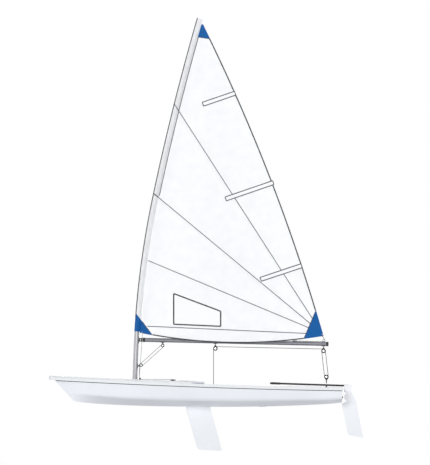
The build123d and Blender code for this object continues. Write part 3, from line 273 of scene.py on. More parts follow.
def gelcoat(name, colour, roughness, bottomGloss=0.4):
    # Polyester gelcoat from a polished mould: even and glossy, with a faint long ripple and fine dulling.
    # Faces that look down are rubbed matt with fine abrasive, as racing boats' bottoms are.
    material, tree, shader = newMaterial(name)
    place = addNode(tree, "ShaderNodeTexCoord").outputs["Object"]
    ripple, tone = drift(tree, place, colour, 0.965, {"Scale": 2.2, "Detail": 3.0})
    fine = {"Scale": 60.0, "Detail": 4.0}
    dulling = addNode(tree, "ShaderNodeTexNoise", fine, {"Vector": place}).outputs["Fac"]
    dulled = {"To Min": roughness - 0.04, "To Max": roughness + 0.06}
    gloss = addNode(tree, "ShaderNodeMapRange", dulled, {"Value": dulling})
    bump = addNode(tree, "ShaderNodeBump", {"Strength": 0.04, "Distance": 0.002}, {"Height": ripple})
    rubbed = {"From Min": -0.85, "From Max": -0.4, "To Min": bottomGloss, "To Max": 0.4}
    shine = addNode(tree, "ShaderNodeMapRange", rubbed, {"Value": facingUp(tree)})
    links = {"Base Color": tone, "Roughness": gloss.outputs["Result"]}
    links.update({"Normal": bump.outputs["Normal"], "Specular IOR Level": shine.outputs["Result"]})
    setShader(shader, links, IOR=1.3)
    return material


# Where the deck's grid is moulded: each panel's length, and how far from the centreline it starts and ends
gridPanels = [(-0.62, -0.10, 0.12, 0.40), (0.02, 1.16, 0.40, 0.58), (-1.15, -0.98, -0.1, 0.17)]


def nonSkidDeck(name, colour, roughness):
    # Deck gelcoat: glossy along the edges and moulded in a raised diamond grid where a sailor sits or
    # steps. The real grid is 4 mm, drawn here at 12 mm so that it shows.
    material, tree, shader = newMaterial(name)
    place = addNode(tree, "ShaderNodeTexCoord").outputs["Object"]
    tone = drift(tree, place, colour, 0.97, {"Scale": 2.2, "Detail": 3.0})[1]
    diagonal = {"Rotation": (0, 0, math.radians(45))}
    turned = addNode(tree, "ShaderNodeMapping", diagonal, {"Vector": place}).outputs["Vector"]
    grid = crossed(tree, (turned, turned), 13.0, ("X", "Y"), "MULTIPLY")
    axes = addNode(tree, "ShaderNodeSeparateXYZ", {}, {"Vector": place}).outputs
    aside = addNode(tree, "ShaderNodeMath", {"operation": "ABSOLUTE"}, {0: axes["Y"]}).outputs[0]
    upward = facingUp(tree)
    covered = None
    for front, back, near, far in gridPanels:
        panel = None
        for kind, edge, source in (
            ("GREATER_THAN", front, axes["X"]),
            ("LESS_THAN", back, axes["X"]),
            ("GREATER_THAN", near, aside),
            ("LESS_THAN", far, aside),
            ("GREATER_THAN", 0.9, upward),
        ):
            side = addNode(tree, "ShaderNodeMath", {"operation": kind, 1: edge}, {0: source}).outputs[0]
            both = {0: panel or side, 1: side}
            panel = addNode(tree, "ShaderNodeMath", {"operation": "MULTIPLY"}, both).outputs[0]
        if covered:
            both = {0: covered, 1: panel}
            panel = addNode(tree, "ShaderNodeMath", {"operation": "ADD", "use_clamp": True}, both).outputs[0]
        covered = panel
    tread = addNode(tree, "ShaderNodeMath", {"operation": "MULTIPLY"}, {0: grid, 1: covered}).outputs[0]
    greyed = {"data_type": "RGBA", 7: shade(linear(colour), 0.88)}
    toned = addNode(tree, "ShaderNodeMix", greyed, {0: covered, 6: tone})
    duller = {"To Min": roughness, "To Max": 0.62}
    gloss = addNode(tree, "ShaderNodeMapRange", duller, {"Value": covered})
    bump = addNode(tree, "ShaderNodeBump", {"Strength": 0.6, "Distance": 0.0015}, {"Height": tread})
    links = {"Base Color": toned.outputs[2], "Roughness": gloss.outputs["Result"]}
    links["Normal"] = bump.outputs["Normal"]
    setShader(shader, links, IOR=1.3, Specular_IOR_Level=0.15)
    return material


def patterned(name, colour, texture, pattern, stretch=None, tones=(), gloss=(), relief=(), **values):
    # one texture drives the tone, between two shares of the colour, the gloss and the relief
    material, tree, shader = newMaterial(name)
    place = addNode(tree, "ShaderNodeTexCoord").outputs["Object"]
    if stretch:
        longer = addNode(tree, "ShaderNodeMapping", {"Scale": stretch}, {"Vector": place})
        place = longer.outputs["Vector"]
    height = addNode(tree, texture, pattern, {"Vector": place}).outputs["Fac"]
    links = {}
    if tones:
        stops = [(position, shade(linear(colour), share)) for position, share in tones]
        tone = addNode(tree, "ShaderNodeValToRGB", {"stops": stops}, {"Fac": height})
        links["Base Color"] = tone.outputs["Color"]
    if gloss:
        limits = {"To Min": gloss[0], "To Max": gloss[1]}
        shine = addNode(tree, "ShaderNodeMapRange", limits, {"Value": height})
        links["Roughness"] = shine.outputs["Result"]
    if relief:
        depth = {"Strength": relief[0], "Distance": relief[1]}
        bump = addNode(tree, "ShaderNodeBump", depth, {"Height": height})
        links["Normal"] = bump.outputs["Normal"]
    setShader(shader, links, Base_Color=linear(colour), **values)
    return material


def anodised(name, colour, roughness, metallic):
    # Drawn aluminium tube, anodised: satin, with faint lines along its length and a small drift of tone
    lines = {"Scale": 3.0, "Detail": 4.0}
    look = {"stretch": (90.0, 90.0, 1.5), "tones": ((0.3, 0.88), (0.7, 1.0)), "Metallic": metallic}
    look["gloss"] = (roughness - 0.05, roughness + 0.08)
    return patterned(name, colour, "ShaderNodeTexNoise", lines, **look)


def mouldedPlastic(name, colour, roughness, grain):
    # Glass-filled nylon or rubber from a mould: near-black, with a fine grain that catches the light
    speckle = {"Scale": grain, "Detail": 3.0}
    look = {"tones": ((0.35, 1.0), (0.75, 1.5)), "relief": (0.15, 0.0006), "Specular_IOR_Level": 0.3}
    return patterned(name, colour, "ShaderNodeTexNoise", speckle, Roughness=roughness, **look)


def sailcloth(name, colour, through):
    # Woven polyester, calendered: crisp, matt to satin, letting a little light through.
    # Its threads are 0.3 mm apart, drawn at 3 mm so that they show, over soft creases a hand wide.
    material, tree, shader = newMaterial(name)
    place = addNode(tree, "ShaderNodeTexCoord").outputs["Object"]
    weave = crossed(tree, (place, place), 52.0, ("X", "Z"), "MULTIPLY")
    crinkle, tone = drift(tree, place, colour, 0.96, {"Scale": 9.0, "Detail": 5.0})
    woven = addNode(tree, "ShaderNodeBump", {"Strength": 0.08, "Distance": 0.0004}, {"Height": weave})
    folded = {"Height": crinkle, "Normal": woven.outputs["Normal"]}
    creased = addNode(tree, "ShaderNodeBump", {"Strength": 0.25, "Distance": 0.002}, folded)
    links = {"Base Color": tone, "Normal": creased.outputs["Normal"]}
    setShader(shader, links, Roughness=0.6, Specular_IOR_Level=0.2)
    glow = addNode(tree, "ShaderNodeBsdfTranslucent", {}, {"Color": tone})
    pair = {1: shader.outputs[0], 2: glow.outputs[0]}
    mixed = addNode(tree, "ShaderNodeMixShader", {0: through}, pair)
    tree.links.new(mixed.outputs[0], tree.nodes["Material Output"].inputs["Surface"])
    return material


def braid(name, colour, fleck):
    # Braided polyester cover over a core: crossed strands with a darker fleck, 4 mm to a strand
    material, tree, shader = newMaterial(name)
    place = addNode(tree, "ShaderNodeUVMap", {"uv_map": "rope"}).outputs["UV"]
    places = []
    for turn in (45, -45):
        turned = {"Rotation": (0, 0, math.radians(turn))}
        places.append(addNode(tree, "ShaderNodeMapping", turned, {"Vector": place}).outputs["Vector"])
    plait = crossed(tree, places, 80.0, ("X", "X"), "MAXIMUM")
    stops = [(0.35, linear(fleck)), (0.8, linear(colour))]
    tone = addNode(tree, "ShaderNodeValToRGB", {"stops": stops}, {"Fac": plait})
    bump = addNode(tree, "ShaderNodeBump", {"Strength": 0.6, "Distance": 0.001}, {"Height": plait})
    links = {"Base Color": tone.outputs["Color"], "Normal": bump.outputs["Normal"]}
    setShader(shader, links, Roughness=0.8, Specular_IOR_Level=0.2)
    return material


hullSkin = gelcoat("hull gelcoat", "#f5f7fb", 0.3, 0.0)
deckSkin = nonSkidDeck("non-skid deck gelcoat", "#eceef0", 0.42)
plainSkin = gelcoat("deck gelcoat", "#eceef0", 0.3)
foilSkin = gelcoat("foil gelcoat", "#eceef1", 0.25)
sparMetal = anodised("anodised aluminium", "#a2a2a5", 0.38, 0.5)
boomMetal = anodised("anodised boom tube", "#707076", 0.42, 0.5)
blackMetal = anodised("black anodised aluminium", "#222326", 0.42, 0.4)
blackNylon = mouldedPlastic("glass-filled nylon", "#161617", 0.45, 260.0)
gripRubber = mouldedPlastic("grip rubber", "#161617", 0.75, 420.0)
whiteCloth = sailcloth("polyester sailcloth", "#fafafb", 0.22)
blueCloth = sailcloth("blue reinforcing cloth", "#0a599d", 0.0)
pocketCloth = sailcloth("doubled sailcloth", "#fafafb", 0.0)
darkTape = sailcloth("dark edge tape", "#3a3c41", 0.0)
seamTape = sailcloth("grey seam tape", "#55585e", 0.0)
ropeBraid = braid("braided polyester rope", "#34373c", "#0f1013")

# Clear vinyl: see-through, with soft waves in its gloss
soft = {"Scale": 6.0, "Detail": 2.0}
waves = {"gloss": (0.08, 0.2), "relief": (0.2, 0.002), "Alpha": 0.3, "IOR": 1.3}
windowFilm = patterned("clear vinyl", "#f8fafb", "ShaderNodeTexNoise", soft, **waves)

# Woven polyester webbing: ribs across its length, 5 mm apart
ribs = {"Scale": 32.0, "bands_direction": "X"}
ribbed = {"tones": ((0.2, 0.6), (0.8, 1.0)), "relief": (0.5, 0.001), "Roughness": 0.85}
ribbed["Specular_IOR_Level"] = 0.2
blackWebbing = patterned("polyester webbing", "#303135", "ShaderNodeTexWave", ribs, **ribbed)

# Aluminium powder-coated white: even and satin, with the coat's faint orange peel, 8 mm across
peel = {"gloss": (0.35, 0.45), "relief": (0.05, 0.001), "IOR": 1.4}
powder = {"Scale": 120.0, "Detail": 2.0}
whiteMetal = patterned("white powder-coated aluminium", "#e9eaed", "ShaderNodeTexNoise", powder, **peel)

# Stainless steel, bright rolled: sharp gloss with fine scratches
rolled = {"gloss": (0.22, 0.4), "Metallic": 1.0}
scratches = {"Scale": 180.0, "Detail": 5.0}
steel = patterned("stainless steel", "#c4c6c9", "ShaderNodeTexNoise", scratches, **rolled)

nodeFinish = {
    hullSkin: ["hull"],
    deckSkin: ["deck"],
    plainSkin: ["daggerboard_case", "mast_step"],
    foilSkin: ["daggerboard", "daggerboard_head", "rudder_blade"],
    sparMetal: ["mast_lower", "mast_upper", "tiller_extension"],
    boomMetal: ["boom"],
    whiteMetal: ["rudder_head"],
    blackMetal: ["gooseneck", "tiller"],
    gripRubber: ["extension_joint"],
    blackNylon: [
        "boom_caps",
        "boom_end_block",
        "boom_middle_block",
        "vang_boom_block",
        "vang_mast_block",
        "clew_fittings",
        "rig_sheaves",
        "traveller_block",
        "ratchet_block",
        "deck_sheaves",
        "fairleads",
        "control_cleats",
        "drain_plug",
    ],
    steel: ["bow_eye", "gudgeons"],
    blackWebbing: ["toe_strap"],
}
for material, names in nodeFinish.items():
    for name in names:
        coat(nodes[name], material)
print("finishes on the CAD nodes")


# The sail's set shape. The mast is straight at first and then bends in two arcs, and the cloth leaves it
# at the sleeve.
rig = {
    "footX": -0.8915,
    "footZ": -0.020,
    "rake": math.radians(2.07),
    "straight": 0.72,
    "lowerBendLength": 2.24,
    "lowerBend": math.radians(9.8),
    "upperBend": math.radians(4.2),
    "topZ": 5.510,
}
sail = {
    "sleeveTail": 0.052,
    "sleeveFootZ": 1.008,
    "camber": 0.07,
    "twist": 0.08,
    "head": (0.092, 5.447),
    "clew": (1.836, 0.943),
    "tack": (-0.822, 0.990),
    "leechRoach": 0.110,
    "footRoach": 0.124,
    "top": 5.428,
    "thickness": 0.0014,
    "columns": 120,
    "rows": 200,
}


def mastStation(length):
    # x, z and lean of the mast's middle line, so far along it from its foot
    bends = [(rig["lowerBendLength"], rig["lowerBend"]), (upperBendLength, rig["upperBend"])]
    parts = [(rig["straight"], 0.0)] + bends
    x, z, lean, left = rig["footX"], rig["footZ"], rig["rake"], length
    for number, (run, turn) in enumerate(parts):
        here = left if number == len(parts) - 1 else min(left, run)
        if turn == 0.0:
            x += here * math.sin(lean)
            z += here * math.cos(lean)
        else:
            radius = run / turn
            after = lean + here / radius
            x += radius * (math.cos(lean) - math.cos(after))
            z += radius * (math.sin(after) - math.sin(lean))
            lean = after
        left -= here
        if left <= 0.0:
            break
    return x, z, lean


def offMast(length, out, side):
    # a place so far behind the mast's middle line and to its side
    x, z, lean = mastStation(length)
    return Vector((x + out * math.cos(lean), side, z - out * math.sin(lean)))


kneeLean = rig["rake"] + rig["lowerBend"]
endLean = kneeLean + rig["upperBend"]
lowerRadius = rig["lowerBendLength"] / rig["lowerBend"]
kneeZ = rig["footZ"] + rig["straight"] * math.cos(rig["rake"])
kneeZ += lowerRadius * (math.sin(kneeLean) - math.sin(rig["rake"]))
upperBendLength = (rig["topZ"] - kneeZ) * rig["upperBend"] / (math.sin(endLean) - math.sin(kneeLean))
mastLength = rig["straight"] + rig["lowerBendLength"] + upperBendLength


def mastLengthAt(height):
    low, high = 0.0, mastLength * 1.05
    for _ in range(40):
        guess = (low + high) / 2
        if mastStation(guess)[1] < height:
            low = guess
        else:
            high = guess
    return low


def mastAt(height):
    x, _, lean = mastStation(mastLengthAt(height))
    return x, lean


def arcThrough(start, end, sag):
    # the centre and radius of the arc whose middle lies so far off the chord
    run, rise = end[0] - start[0], end[1] - start[1]
    chord = math.hypot(run, rise)
    radius = (chord**2 / 4 + sag**2) / (2 * sag)
    back = (radius - sag) / chord
    return (start[0] + end[0]) / 2 + rise * back, (start[1] + end[1]) / 2 - run * back, radius


leechArc = arcThrough(sail["clew"], sail["head"], -sail["leechRoach"])
footArc = arcThrough(sail["tack"], sail["clew"], -sail["footRoach"])


def leechX(z):
    return leechArc[0] + math.sqrt(leechArc[2] ** 2 - (z - leechArc[1]) ** 2)


def footZ(x):
    return footArc[1] - math.sqrt(footArc[2] ** 2 - (x - footArc[0]) ** 2)


luff = {"low": 0.8, "step": 0.01, "count": 480, "tuck": 0.008}
luffTable = []
for number in range(luff["count"]):
    x, lean = mastAt(luff["low"] + luff["step"] * number)
    luffTable.append(x + (sail["sleeveTail"] - luff["tuck"]) / math.cos(lean))


def luffX(z):
    place = min(max((z - luff["low"]) / luff["step"], 0.0), luff["count"] - 1.001)
    low = int(place)
    return luffTable[low] + (luffTable[low + 1] - luffTable[low]) * (place - low)


# Small radial folds fade out from the clew and the tack, and slight puckers run along the luff.
folds = [
    {"corner": sail["clew"], "reach": 0.75, "count": 18.0, "height": 0.0026},
    {"corner": sail["tack"], "reach": 0.8, "count": 16.0, "height": 0.0028},
]
pucker = {"height": 0.0016, "count": 21.0, "reach": 0.12}


def creases(x, z):
    depth = 0.0
    for fold in folds:
        away = math.hypot(x - fold["corner"][0], z - fold["corner"][1])
        turn = math.atan2(z - fold["corner"][1], x - fold["corner"][0])
        fading = math.exp(-((away / fold["reach"]) ** 2) * 3.0) * min(away / 0.1, 1.0)
        depth += fold["height"] * math.sin(turn * fold["count"]) * fading
    fromLuff = x - luffX(z)
    fading = math.exp(-fromLuff / pucker["reach"]) * min(fromLuff / 0.03, 1.0)
    return depth + pucker["height"] * math.sin(z * pucker["count"] + 1.5 * math.sin(z * 5.0)) * fading


def sailY(x, z):
    # how far the cloth stands off the centreline at a point of the side view
    front = luffX(z)
    back = max(leechX(z), front + 0.006)
    share = (z - sail["clew"][1]) / (sail["head"][1] - sail["clew"][1])
    fall = -sail["twist"] * 4 * max(share, 0.0) * (1 - min(share, 1.0))
    belly = fall / 2 - sail["camber"] * (back - front)
    u = (x - front) / (back - front)
    rise = 4 * belly - fall
    return (fall - rise) * u * u + rise * u + creases(x, z)


def shapedGrid(name, columns, rows, place):
    # a grid primitive whose corners, counted from 0 to 1 both ways, are put where the shape has them
    steps = {"x_subdivisions": columns, "y_subdivisions": rows}
    piece = newPiece(name, bpy.ops.mesh.primitive_grid_add, size=1.0, **steps)
    for vertex in piece.data.vertices:
        vertex.co = place(vertex.co.x + 0.5, vertex.co.y + 0.5)
    return piece


def sheetPoint(u, v):
    z = 0.9 + v * (sail["top"] - 0.9)
    for _ in range(6):
        x = luffX(z) + u * (max(leechX(z), luffX(z) + 0.006) - luffX(z))
        low = footZ(min(max(x, sail["tack"][0]), sail["clew"][0]))
        z = low + v * (sail["top"] - low)
    return Vector((x, sailY(x, z), z))


def inside(corners, x, z):
    # whether a point of the side view lies within the corners
    hit = False
    for (x1, z1), (x2, z2) in zip(corners, corners[1:] + corners[:1]):
        if (z1 > z) != (z2 > z) and x < (x2 - x1) * (z - z1) / (z2 - z1) + x1:
            hit = not hit
    return hit


def cutOut(sheet, name, corners, cutLines):
    # cuts the sheet along the lines and takes what lies inside the corners away as a piece of its own
    pick(sheet)
    bpy.ops.object.mode_set(mode="EDIT")
    for start, end in cutLines:
        mesh = bmesh.from_edit_mesh(sheet.data)
        low = (min(start[0], end[0]) - 0.1, min(start[1], end[1]) - 0.1)
        high = (max(start[0], end[0]) + 0.1, max(start[1], end[1]) + 0.1)
        for face in mesh.faces:
            spot = face.calc_center_median()
            face.select = low[0] < spot.x < high[0] and low[1] < spot.z < high[1]
        bmesh.update_edit_mesh(sheet.data)
        across = (end[1] - start[1], 0, start[0] - end[0])
        bpy.ops.mesh.bisect(plane_co=(start[0], 0, start[1]), plane_no=across)
    mesh = bmesh.from_edit_mesh(sheet.data)
    for face in mesh.faces:
        spot = face.calc_center_median()
        face.select = inside(corners, spot.x, spot.z)
    bmesh.update_edit_mesh(sheet.data)
    bpy.ops.mesh.separate(type="SELECTED")
    bpy.ops.object.mode_set(mode="OBJECT")
    piece = [o for o in bpy.context.selected_objects if o != sheet][0]
    piece.name = name
    return piece


def thicken(piece, thickness):
    applyModifier(piece, "SOLIDIFY", thickness=thickness, offset=0.0)
    smooth(piece, 40)


cloth = shapedGrid("sailCloth", sail["columns"], sail["rows"], sheetPoint)
windowCorners = [(-0.321, 1.553), (0.355, 1.299), (0.355, 1.082), (-0.321, 1.112)]
windowSides = list(zip(windowCorners, windowCorners[1:] + windowCorners[:1]))

# Each corner patch: the line that it is cut along, and corners beyond the cloth that close round it
cornerPatches = {
    "head": {
        "line": [(-0.060, 5.262), (0.029, 5.245), (0.260, 5.210)],
        "beyond": [(0.6, 5.7), (-0.4, 5.7)],
    },
    "tack": {
        "line": [(-0.940, 1.366), (-0.866, 1.273), (-0.632, 0.961), (-0.594, 0.910)],
        "beyond": [(-0.594, 0.6), (-1.1, 0.6), (-1.1, 1.366)],
    },
    "clew": {
        "line": [(1.500, 0.786), (1.551, 0.904), (1.722, 1.302), (1.760, 1.390)],
        "beyond": [(2.2, 1.390), (2.2, 0.6), (1.5, 0.6)],
    },
}


def cutPatch(sheet, name, corner):
    line, beyond = cornerPatches[corner]["line"], cornerPatches[corner]["beyond"]
    return cutOut(sheet, name, line + beyond, list(zip(line, line[1:])))


window = cutOut(cloth, "sailWindow", windowCorners, windowSides)
headPatch = cutPatch(cloth, "headPatch", "head")
tackPatch = cutPatch(cloth, "tackPatch", "tack")
clewPatch = cutPatch(cloth, "clewPatch", "clew")
for piece, material, layers in (
    (cloth, whiteCloth, 1),
    (window, windowFilm, 1),
    (headPatch, blueCloth, 3),
    (tackPatch, blueCloth, 3),
    (clewPatch, blueCloth, 3),
):
    thicken(piece, sail["thickness"] * layers)
    dress(piece, material, "rig")
print("sail cloth, window and patches")


def evenly(start, end, steps):
    return [start + (end - start) * n / steps for n in range(steps + 1)]


def joinAs(name, pieces, body):
    pick(pieces[0])
    for piece in pieces:
        piece.select_set(True)
    if len(pieces) > 1:
        bpy.ops.object.join()
    pieces[0].name = name
    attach(pieces[0], body)
    return pieces[0]


def tape(name, points, size, steps):
    # a band on both faces of the cloth, along a line given by its x, z points
    lengths = [math.dist(a, b) for a, b in zip(points, points[1:])]
    total = sum(lengths)

    def place(u, v):
        along = u * total
        number = 0
        while number < len(lengths) - 1 and along > lengths[number]:
            along -= lengths[number]
            number += 1
        a, b = Vector(points[number]), Vector(points[number + 1])
        way = (b - a).normalized()
        spot = a + way * along + Vector((-way.y, way.x)) * (v - 0.5) * size["width"]
        return upright(spot, sailY(*spot))

    piece = shapedGrid(name, steps, 2, place)
    applyModifier(piece, "SOLIDIFY", thickness=size["thickness"], offset=0.0)
    return piece


def taped(name, lines, size, material, steps):
    # one piece of all its tapes
    piece = joinAs(name, [tape(name, line, size, steps) for line in lines], "rig")
    coat(piece, material)
    return piece


def picturePoint(px, py):
    # a point of the side view, in pixels, as x, z on the boat
    scale = view["mmPerPixel"] / 1000
    return (px - view["bowZeroPixel"]) * scale, (view["waterPixel"] - py) * scale


seams = {
    "width": 0.011,
    "thickness": 0.0036,
    "lines": [
        ((174.6, 104.5), (312.7, 319.1)),
        ((153.2, 193.0), (310.7, 323.9)),
        ((148.0, 260.5), (308.9, 327.8)),
        ((147.4, 326.2), (306.5, 333.45)),
    ],
}
seamLines = [[picturePoint(*point) for point in line] for line in seams["lines"]]
seamTapes = taped("seamTapes", seamLines, seams, seamTape, 200)

# The edge tapes run from corner patch to corner patch.
edgeTape = {"width": 0.017, "thickness": 0.0042, "leech": (1.306, 5.220), "foot": (-0.626, 1.551)}
inset = edgeTape["width"] / 2
leechLine = [(leechX(z) - inset, z) for z in evenly(*edgeTape["leech"], 60)]
footLine = [(x, footZ(x) + inset) for x in evenly(*edgeTape["foot"], 60)]
edges = taped("edgeTapes", [leechLine, footLine], edgeTape, darkTape, 200)
windowFrame = taped("windowFrame", windowSides, {"width": 0.019, "thickness": 0.0040}, darkTape, 30)
patchSeam = {
    "width": 0.009,
    "thickness": 0.0068,
    "lines": [
        ((0.029, 5.245), (0.190, 5.2205)),
        ((-0.775, 1.152), (-0.640, 0.972)),
        ((1.556, 0.916), (1.718, 1.294)),
    ],
}
patchEdges = taped("patchEdges", patchSeam["lines"], patchSeam, darkTape, 120)

battens = {
    "width": 0.058,
    "thickness": 0.0046,
    "ends": [
        ((0.100, 4.278), (0.562, 4.436)),
        ((0.428, 2.915), (1.112, 3.150)),
        ((0.930, 1.758), (1.520, 1.954)),
    ],
}
pocketLine = {"width": 0.013, "thickness": 0.0052}
battenPockets = taped("battenPockets", battens["ends"], battens, pocketCloth, 40)
outlines = []
for inner, outer in battens["ends"]:
    inner, outer = Vector(inner), Vector(outer)
    way = (outer - inner).normalized()
    side = Vector((-way.y, way.x)) * (battens["width"] / 2)
    ends = [inner - side, outer - side, outer + side, inner + side]
    outlines += zip(ends, ends[1:] + ends[:1])
pocketEdges = taped("pocketEdges", outlines, pocketLine, darkTape, 30)
print("seams, tapes and batten pockets")

# The luff sleeve: a teardrop round the mast, drawn together behind it
sleeve = {
    "radius": 0.0369,
    "tail": sail["sleeveTail"],
    "edge": 0.0015,
    "around": 40,
    "along": 220,
    "thickness": 0.0012,
    "overMast": 0.0015,
    "straight": 0.22,
    "pucker": 0.010,
}


def teardrop(turn):
    # the outline, from the tail round the front and back to the tail, with turn from 0 to 1
    reach = math.hypot(sleeve["tail"], sleeve["edge"])
    touch = math.atan2(sleeve["edge"], sleeve["tail"]) + math.acos(sleeve["radius"] / reach)
    straight = sleeve["straight"]
    if turn < straight:
        share = turn / straight
        return (
            sleeve["tail"] + (sleeve["radius"] * math.cos(touch) - sleeve["tail"]) * share,
            sleeve["edge"] + (sleeve["radius"] * math.sin(touch) - sleeve["edge"]) * share,
        )
    if turn > 1 - straight:
        x, y = teardrop(1 - turn)
        return x, -y
    angle = touch + (2 * math.pi - 2 * touch) * (turn - straight) / (1 - 2 * straight)
    return sleeve["radius"] * math.cos(angle), sleeve["radius"] * math.sin(angle)


sleeveStart = mastLengthAt(sail["sleeveFootZ"])
sleeveEnd = mastLength + sleeve["overMast"]


def sleevePoint(u, v):
    # a slight pucker runs round it
    out, side = teardrop(u)
    waves = math.sin(v * 260.0 + 4 * math.sin(v * 37.0)) * math.sin(math.pi * u)
    grown = 1 + sleeve["pucker"] * waves
    return offMast(sleeveStart + (sleeveEnd - sleeveStart) * v, out * grown, side * grown)


luffSleeve = shapedGrid("luffSleeve", sleeve["around"], sleeve["along"], sleevePoint)
topCentre = upright(mastStation(sleeveEnd))
topWay = Vector((math.sin(endLean), 0, math.cos(endLean)))
select(luffSleeve, "verts", lambda vertex: (vertex.co - topCentre).dot(topWay) > -0.002)
bpy.ops.mesh.edge_face_add()
bpy.ops.object.mode_set(mode="OBJECT")
sleeveTackPatch = cutPatch(luffSleeve, "sleeveTackPatch", "tack")
for piece, material in ((luffSleeve, whiteCloth), (sleeveTackPatch, blueCloth)):
    thicken(piece, sleeve["thickness"])
    dress(piece, material, "rig")

sleeveStitch = {"behindLuff": 0.0145, "span": (2.96, 5.24), "width": 0.010, "thickness": 0.0034}
stitchLine = [(luffX(z) + sleeveStitch["behindLuff"], z) for z in evenly(*sleeveStitch["span"], 80)]
sleeveSeam = taped("sleeveSeam", [stitchLine], sleeveStitch, darkTape, 160)
sleeveBand = {
    "begin": 0.02,
    "reach": 0.44,
    "stand": 0.0014,
    "thickness": 0.0016,
    "width": seams["width"] * 1.8,
}


# The two upper seams run on over the sleeve to its front.
def seamOnSleeve(start, end, hand):
    (x1, z1), (x2, z2) = start, end
    fall = (z2 - z1) / (x2 - x1)

    def place(u, v):
        out, side = teardrop(sleeveBand["begin"] + sleeveBand["reach"] * u)
        grown = 1 + sleeveBand["stand"] / math.hypot(out, side)
        out, side = out * grown, side * grown
        z = z1
        for _ in range(6):
            x, _, lean = mastStation(mastLengthAt(z + out * 0.2))
            x += out * math.cos(lean)
            z = z1 + (x - x1) * fall + (v - 0.5) * sleeveBand["width"]
        return Vector((x, hand * side, z))

    piece = shapedGrid("sleeveBand", 24, 2, place)
    applyModifier(piece, "SOLIDIFY", thickness=sleeveBand["thickness"], offset=0.0)
    return piece


bands = [seamOnSleeve(*line, hand) for line in seamLines[:2] for hand in (-1, 1)]
sleeveBands = joinAs("sleeveBands", bands, "rig")
coat(sleeveBands, seamTape)

# A dark chafe strip runs up the sleeve's front
chafe = {"spread": math.radians(48), "stand": 0.0012, "thickness": 0.0016, "low": 0.20, "topGap": 0.001}


def chafePoint(u, v):
    length = sleeveEnd - sleeveStart - chafe["low"] - chafe["topGap"]
    angle = math.pi + chafe["spread"] * (2 * u - 1)
    radius = sleeve["radius"] + chafe["stand"]
    spot = (radius * math.cos(angle), radius * math.sin(angle))
    return offMast(sleeveStart + chafe["low"] + length * v, *spot)


chafeStrip = shapedGrid("chafeStrip", 10, 180, chafePoint)
applyModifier(chafeStrip, "SOLIDIFY", thickness=chafe["thickness"], offset=0.0)
dress(smooth(chafeStrip), darkTape, "rig")

# Each cloth with the node that it stands for, and the size it was cut to, in metres
tapes = [seamTapes, edges, windowFrame, battenPockets, pocketEdges, sleeveSeam]
masts = ["mast_lower", "mast_upper"]
cuts = [
    (cloth, "sail_cloth", (2.66, 4.52), 6.62, ["luffSleeve"], tapes),
    (window, "sail_window", (0.68, 0.47), 0.225, ["sailCloth"], []),
    (headPatch, "sail_head_patch", (0.18, 0.22), 0.022, ["sailCloth"], []),
    (tackPatch, "sail_tack_patch", (0.20, 0.33), 0.020, ["sailCloth"], []),
    (clewPatch, "sail_clew_patch", (0.29, 0.42), 0.060, ["sailCloth"], [patchEdges]),
    (luffSleeve, "luff_sleeve", (0.25, 4.36), 1.08, masts, [chafeStrip, sleeveBands]),
    (sleeveTackPatch, None, (0.25, 0.30), 0.054, ["mast_lower"], []),
]
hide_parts("batten_pockets")
for piece, node, flat, area, carriers, along in cuts:
    if node:
        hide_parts(node)
    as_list(carriers)
    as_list(along)
print("luff sleeve")


# Ropes lie where the CAD has them: each is a round line along a path of points, with arcs round its pulleys.
def ropeAlong(name, points, diameter, material, body=None):
    deselectAll()
    curve = bpy.data.curves.new(name, "CURVE")
    curve.dimensions = "3D"
    spline = curve.splines.new("POLY")
    spline.points.add(len(points) - 1)
    for point, spot in zip(spline.points, points):
        point.co = (*spot, 1.0)
    curve.bevel_depth = diameter / 2
    curve.bevel_resolution = 4
    curve.use_fill_caps = True
    piece = bpy.data.objects.new(name, curve)
    bpy.context.scene.collection.objects.link(piece)
    pick(piece)
    bpy.ops.object.convert(target="MESH")
    piece = bpy.context.object
    layer = piece.data.uv_layers.new(name="rope")
    start = Vector(points[0])
    for loop in piece.data.loops:
        spot = piece.data.vertices[loop.vertex_index].co
        layer.data[loop.index].uv = ((spot - start).length, math.atan2(spot.y, spot.x + spot.z) * 0.01)
    coat(piece, material)
    if body:
        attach(piece, body)
    return piece


def arcPoints(centre, radius, start, end, steps):
    angles = evenly(start, end, steps)
    return [(centre[0] + radius * math.cos(a), centre[1] + radius * math.sin(a)) for a in angles]


tackle = {
    "sheetRadius": 0.027,
    "sheetRope": 0.008,
    "boomEnd": (1.835, 0.728),
    "boomMiddle": (0.279, 0.763),
    "traveller": (1.877, 0.354),
    "travellerLow": 0.286,
    "travellerRadius": 0.013,
    "ratchet": (0.279, 0.186),
    "vangRadius": 0.020,
    "vangRope": 0.006,
    "vangMast": (-0.791, 0.524),
    "vangBoom": (-0.479, 0.804),
    "fixed": 0.02,
    "toKnot": 0.026,
}


def squareTo(start, end):
    # the direction square to a line, on its right
    run, rise = end[0] - start[0], end[1] - start[1]
    length = math.hypot(run, rise)
    return rise / length, -run / length


def beside(point, way, distance):
    return point[0] + way[0] * distance, point[1] + way[1] * distance


def between(start, end, steps=40):
    return list(zip(evenly(start[0], end[0], steps), evenly(start[1], end[1], steps)))


def inPlane(points):
    return [upright(point) for point in points]


def hullToRig(line, low, high):
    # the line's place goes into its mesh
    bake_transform(line)


